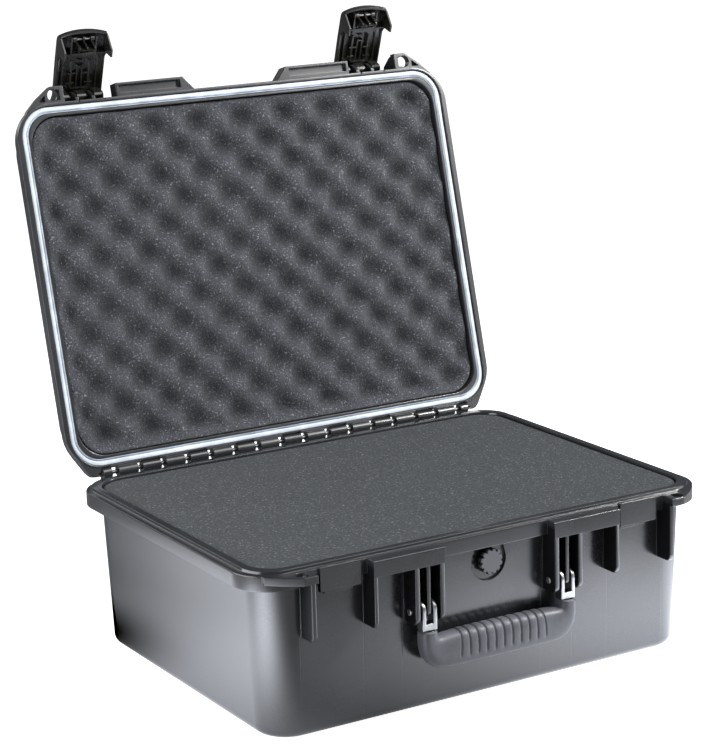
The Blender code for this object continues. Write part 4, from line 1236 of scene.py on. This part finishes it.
# Name, place, target, size, power
SOFTBOXES = [
    ("key_top", (0.7, -0.7, 1.9), (0.0, 0.05, 0.2), (1.2, 0.9), 14.5),
    ("left_panel", (-0.95, 0.05, 0.35), (-0.2, -0.02, 0.12), (1.1, 0.6), 9.0),
    ("right_front", (1.1, -0.75, 0.32), (0.15, -0.15, 0.10), (0.7, 0.5), 2.4),
    ("lid_key", (1.45, -0.95, 1.45), (0.0, 0.2, 0.35), (0.4, 0.4), 46.0),
    ("back_left", (-0.8, 1.6, 1.0), (-0.2, 0.1, 0.15), (1.2, 0.8), 6.0)]


def build_world():
    """Dim grey light that the camera sees as white."""
    world = bpy.data.worlds.new("studio")
    bpy.context.scene.world = world
    world.use_nodes = True
    tree = world.node_tree
    background = tree.nodes["Background"]
    rays = tree.nodes.new("ShaderNodeLightPath")
    colour = tree.nodes.new("ShaderNodeMix")
    colour.data_type = "RGBA"
    tree.links.new(rays.outputs["Is Camera Ray"], colour.inputs[0])
    colour.inputs[6].default_value = (0.13, 0.133, 0.14, 1.0)
    colour.inputs[7].default_value = (1.0, 1.0, 1.0, 1.0)
    tree.links.new(colour.outputs[2], background.inputs["Color"])
    background.inputs["Strength"].default_value = 1.0


def painted_glow_pool(mat, x, y, radius_x, radius_y, level):
    """Soft glowing patch painted on the floor, seen only in the case's reflections as painted
    light.
    """
    across = mat.calc("DIVIDE", mat.calc("SUBTRACT", mat.axis("X"), x), radius_x)
    along = mat.calc("DIVIDE", mat.calc("SUBTRACT", mat.axis("Y"), y), radius_y)
    squares = mat.calc("ADD", mat.calc("MULTIPLY", across, across),
                       mat.calc("MULTIPLY", along, along))
    fade = mat.remap(mat.calc("SQRT", squares), 0.0, 1.0, to=(1.0, 0.0), smooth=True)
    return mat.calc("MULTIPLY", fade, level)


def floor_material():
    """White to the camera, grey to other light, with painted glowing pools that show only in
    reflections.
    """
    mat = Shader("pale_floor")
    broad = mat.noise(scale=0.8)
    seen = mat.node("ShaderNodeLightPath").outputs["Is Camera Ray"]
    pale = mat.mix(mat.remap(broad, 0.3, 0.7), (0.78, 0.78, 0.78), (0.82, 0.82, 0.82))
    base = mat.mix(seen, (0.34, 0.34, 0.34), pale)
    rays = mat.node("ShaderNodeLightPath").outputs
    # glow painted on the floor for glossy rays only
    reflected_glow = 0.06
    for pool in FLOOR_GLOW_POOLS:
        reflected_glow = mat.calc("ADD", painted_glow_pool(mat, *pool), reflected_glow)
    glow = mat.calc("ADD", mat.calc("MULTIPLY", rays["Is Camera Ray"], 1.0),
                    mat.calc("MULTIPLY", rays["Is Glossy Ray"], reflected_glow))
    return mat.finish({
        "Base Color": base, "Roughness": 0.9, "Specular IOR Level": 0.0,
        "Emission Strength": glow,
        "Emission Color": mat.mix(seen, (0.93, 0.965, 1.06), (1.0, 1.0, 1.0))})


def build_floor():
    material = floor_material()
    shape = bmesh.new()
    bmesh.ops.create_grid(shape, x_segments=2, y_segments=2, size=30.0)
    floor = add_object("studio_floor", to_mesh(shape, "studio_floor"))
    floor.data.materials.append(material)
    floor.location = (0, 0, -0.0004)


def softbox(name, place, target, size, power):
    light = bpy.data.lights.new(name, "AREA")
    light.shape = "RECTANGLE"
    light.size, light.size_y = size
    light.energy = power
    lamp = add_object(name, light)
    lamp.location = place
    direction = Vector(target) - Vector(place)
    lamp.rotation_euler = direction.to_track_quat("-Z", "Y").to_euler()
    lamp.visible_camera = False


def build_camera():
    forward = Vector((math.sin(CAMERA_AZIMUTH) * math.cos(CAMERA_DOWN),
                      math.cos(CAMERA_AZIMUTH) * math.cos(CAMERA_DOWN), -math.sin(CAMERA_DOWN)))
    level = Vector((math.cos(CAMERA_AZIMUTH), -math.sin(CAMERA_AZIMUTH), 0.0))
    upright = level.cross(forward)
    right = level * math.cos(CAMERA_ROLL) + upright * math.sin(CAMERA_ROLL)
    up = upright * math.cos(CAMERA_ROLL) - level * math.sin(CAMERA_ROLL)
    placement = Matrix((right, up, -forward)).transposed().to_4x4()
    placement.translation = CAMERA_AT

    data = bpy.data.cameras.new("camera")
    data.sensor_width = 36.0
    data.sensor_fit = "AUTO"
    data.lens = CAMERA_LENS
    data.clip_start, data.clip_end = 0.05, 60.0
    camera = add_object("camera", data)
    camera.matrix_world = placement
    bpy.context.scene.camera = camera


build_base_shell()
build_lid_shell()
build_gasket()
build_lid_foam()
build_base_foam()
build_valve()
build_handle()
build_hinge_pins()
for side, sign in SIDES:
    build_latch(side, sign * LATCH_X)

build_world()
build_floor()
for row in SOFTBOXES:
    softbox(*row)
build_camera()
bpy.context.scene.view_settings.view_transform = "Standard"
bpy.context.scene.view_settings.look = "None"
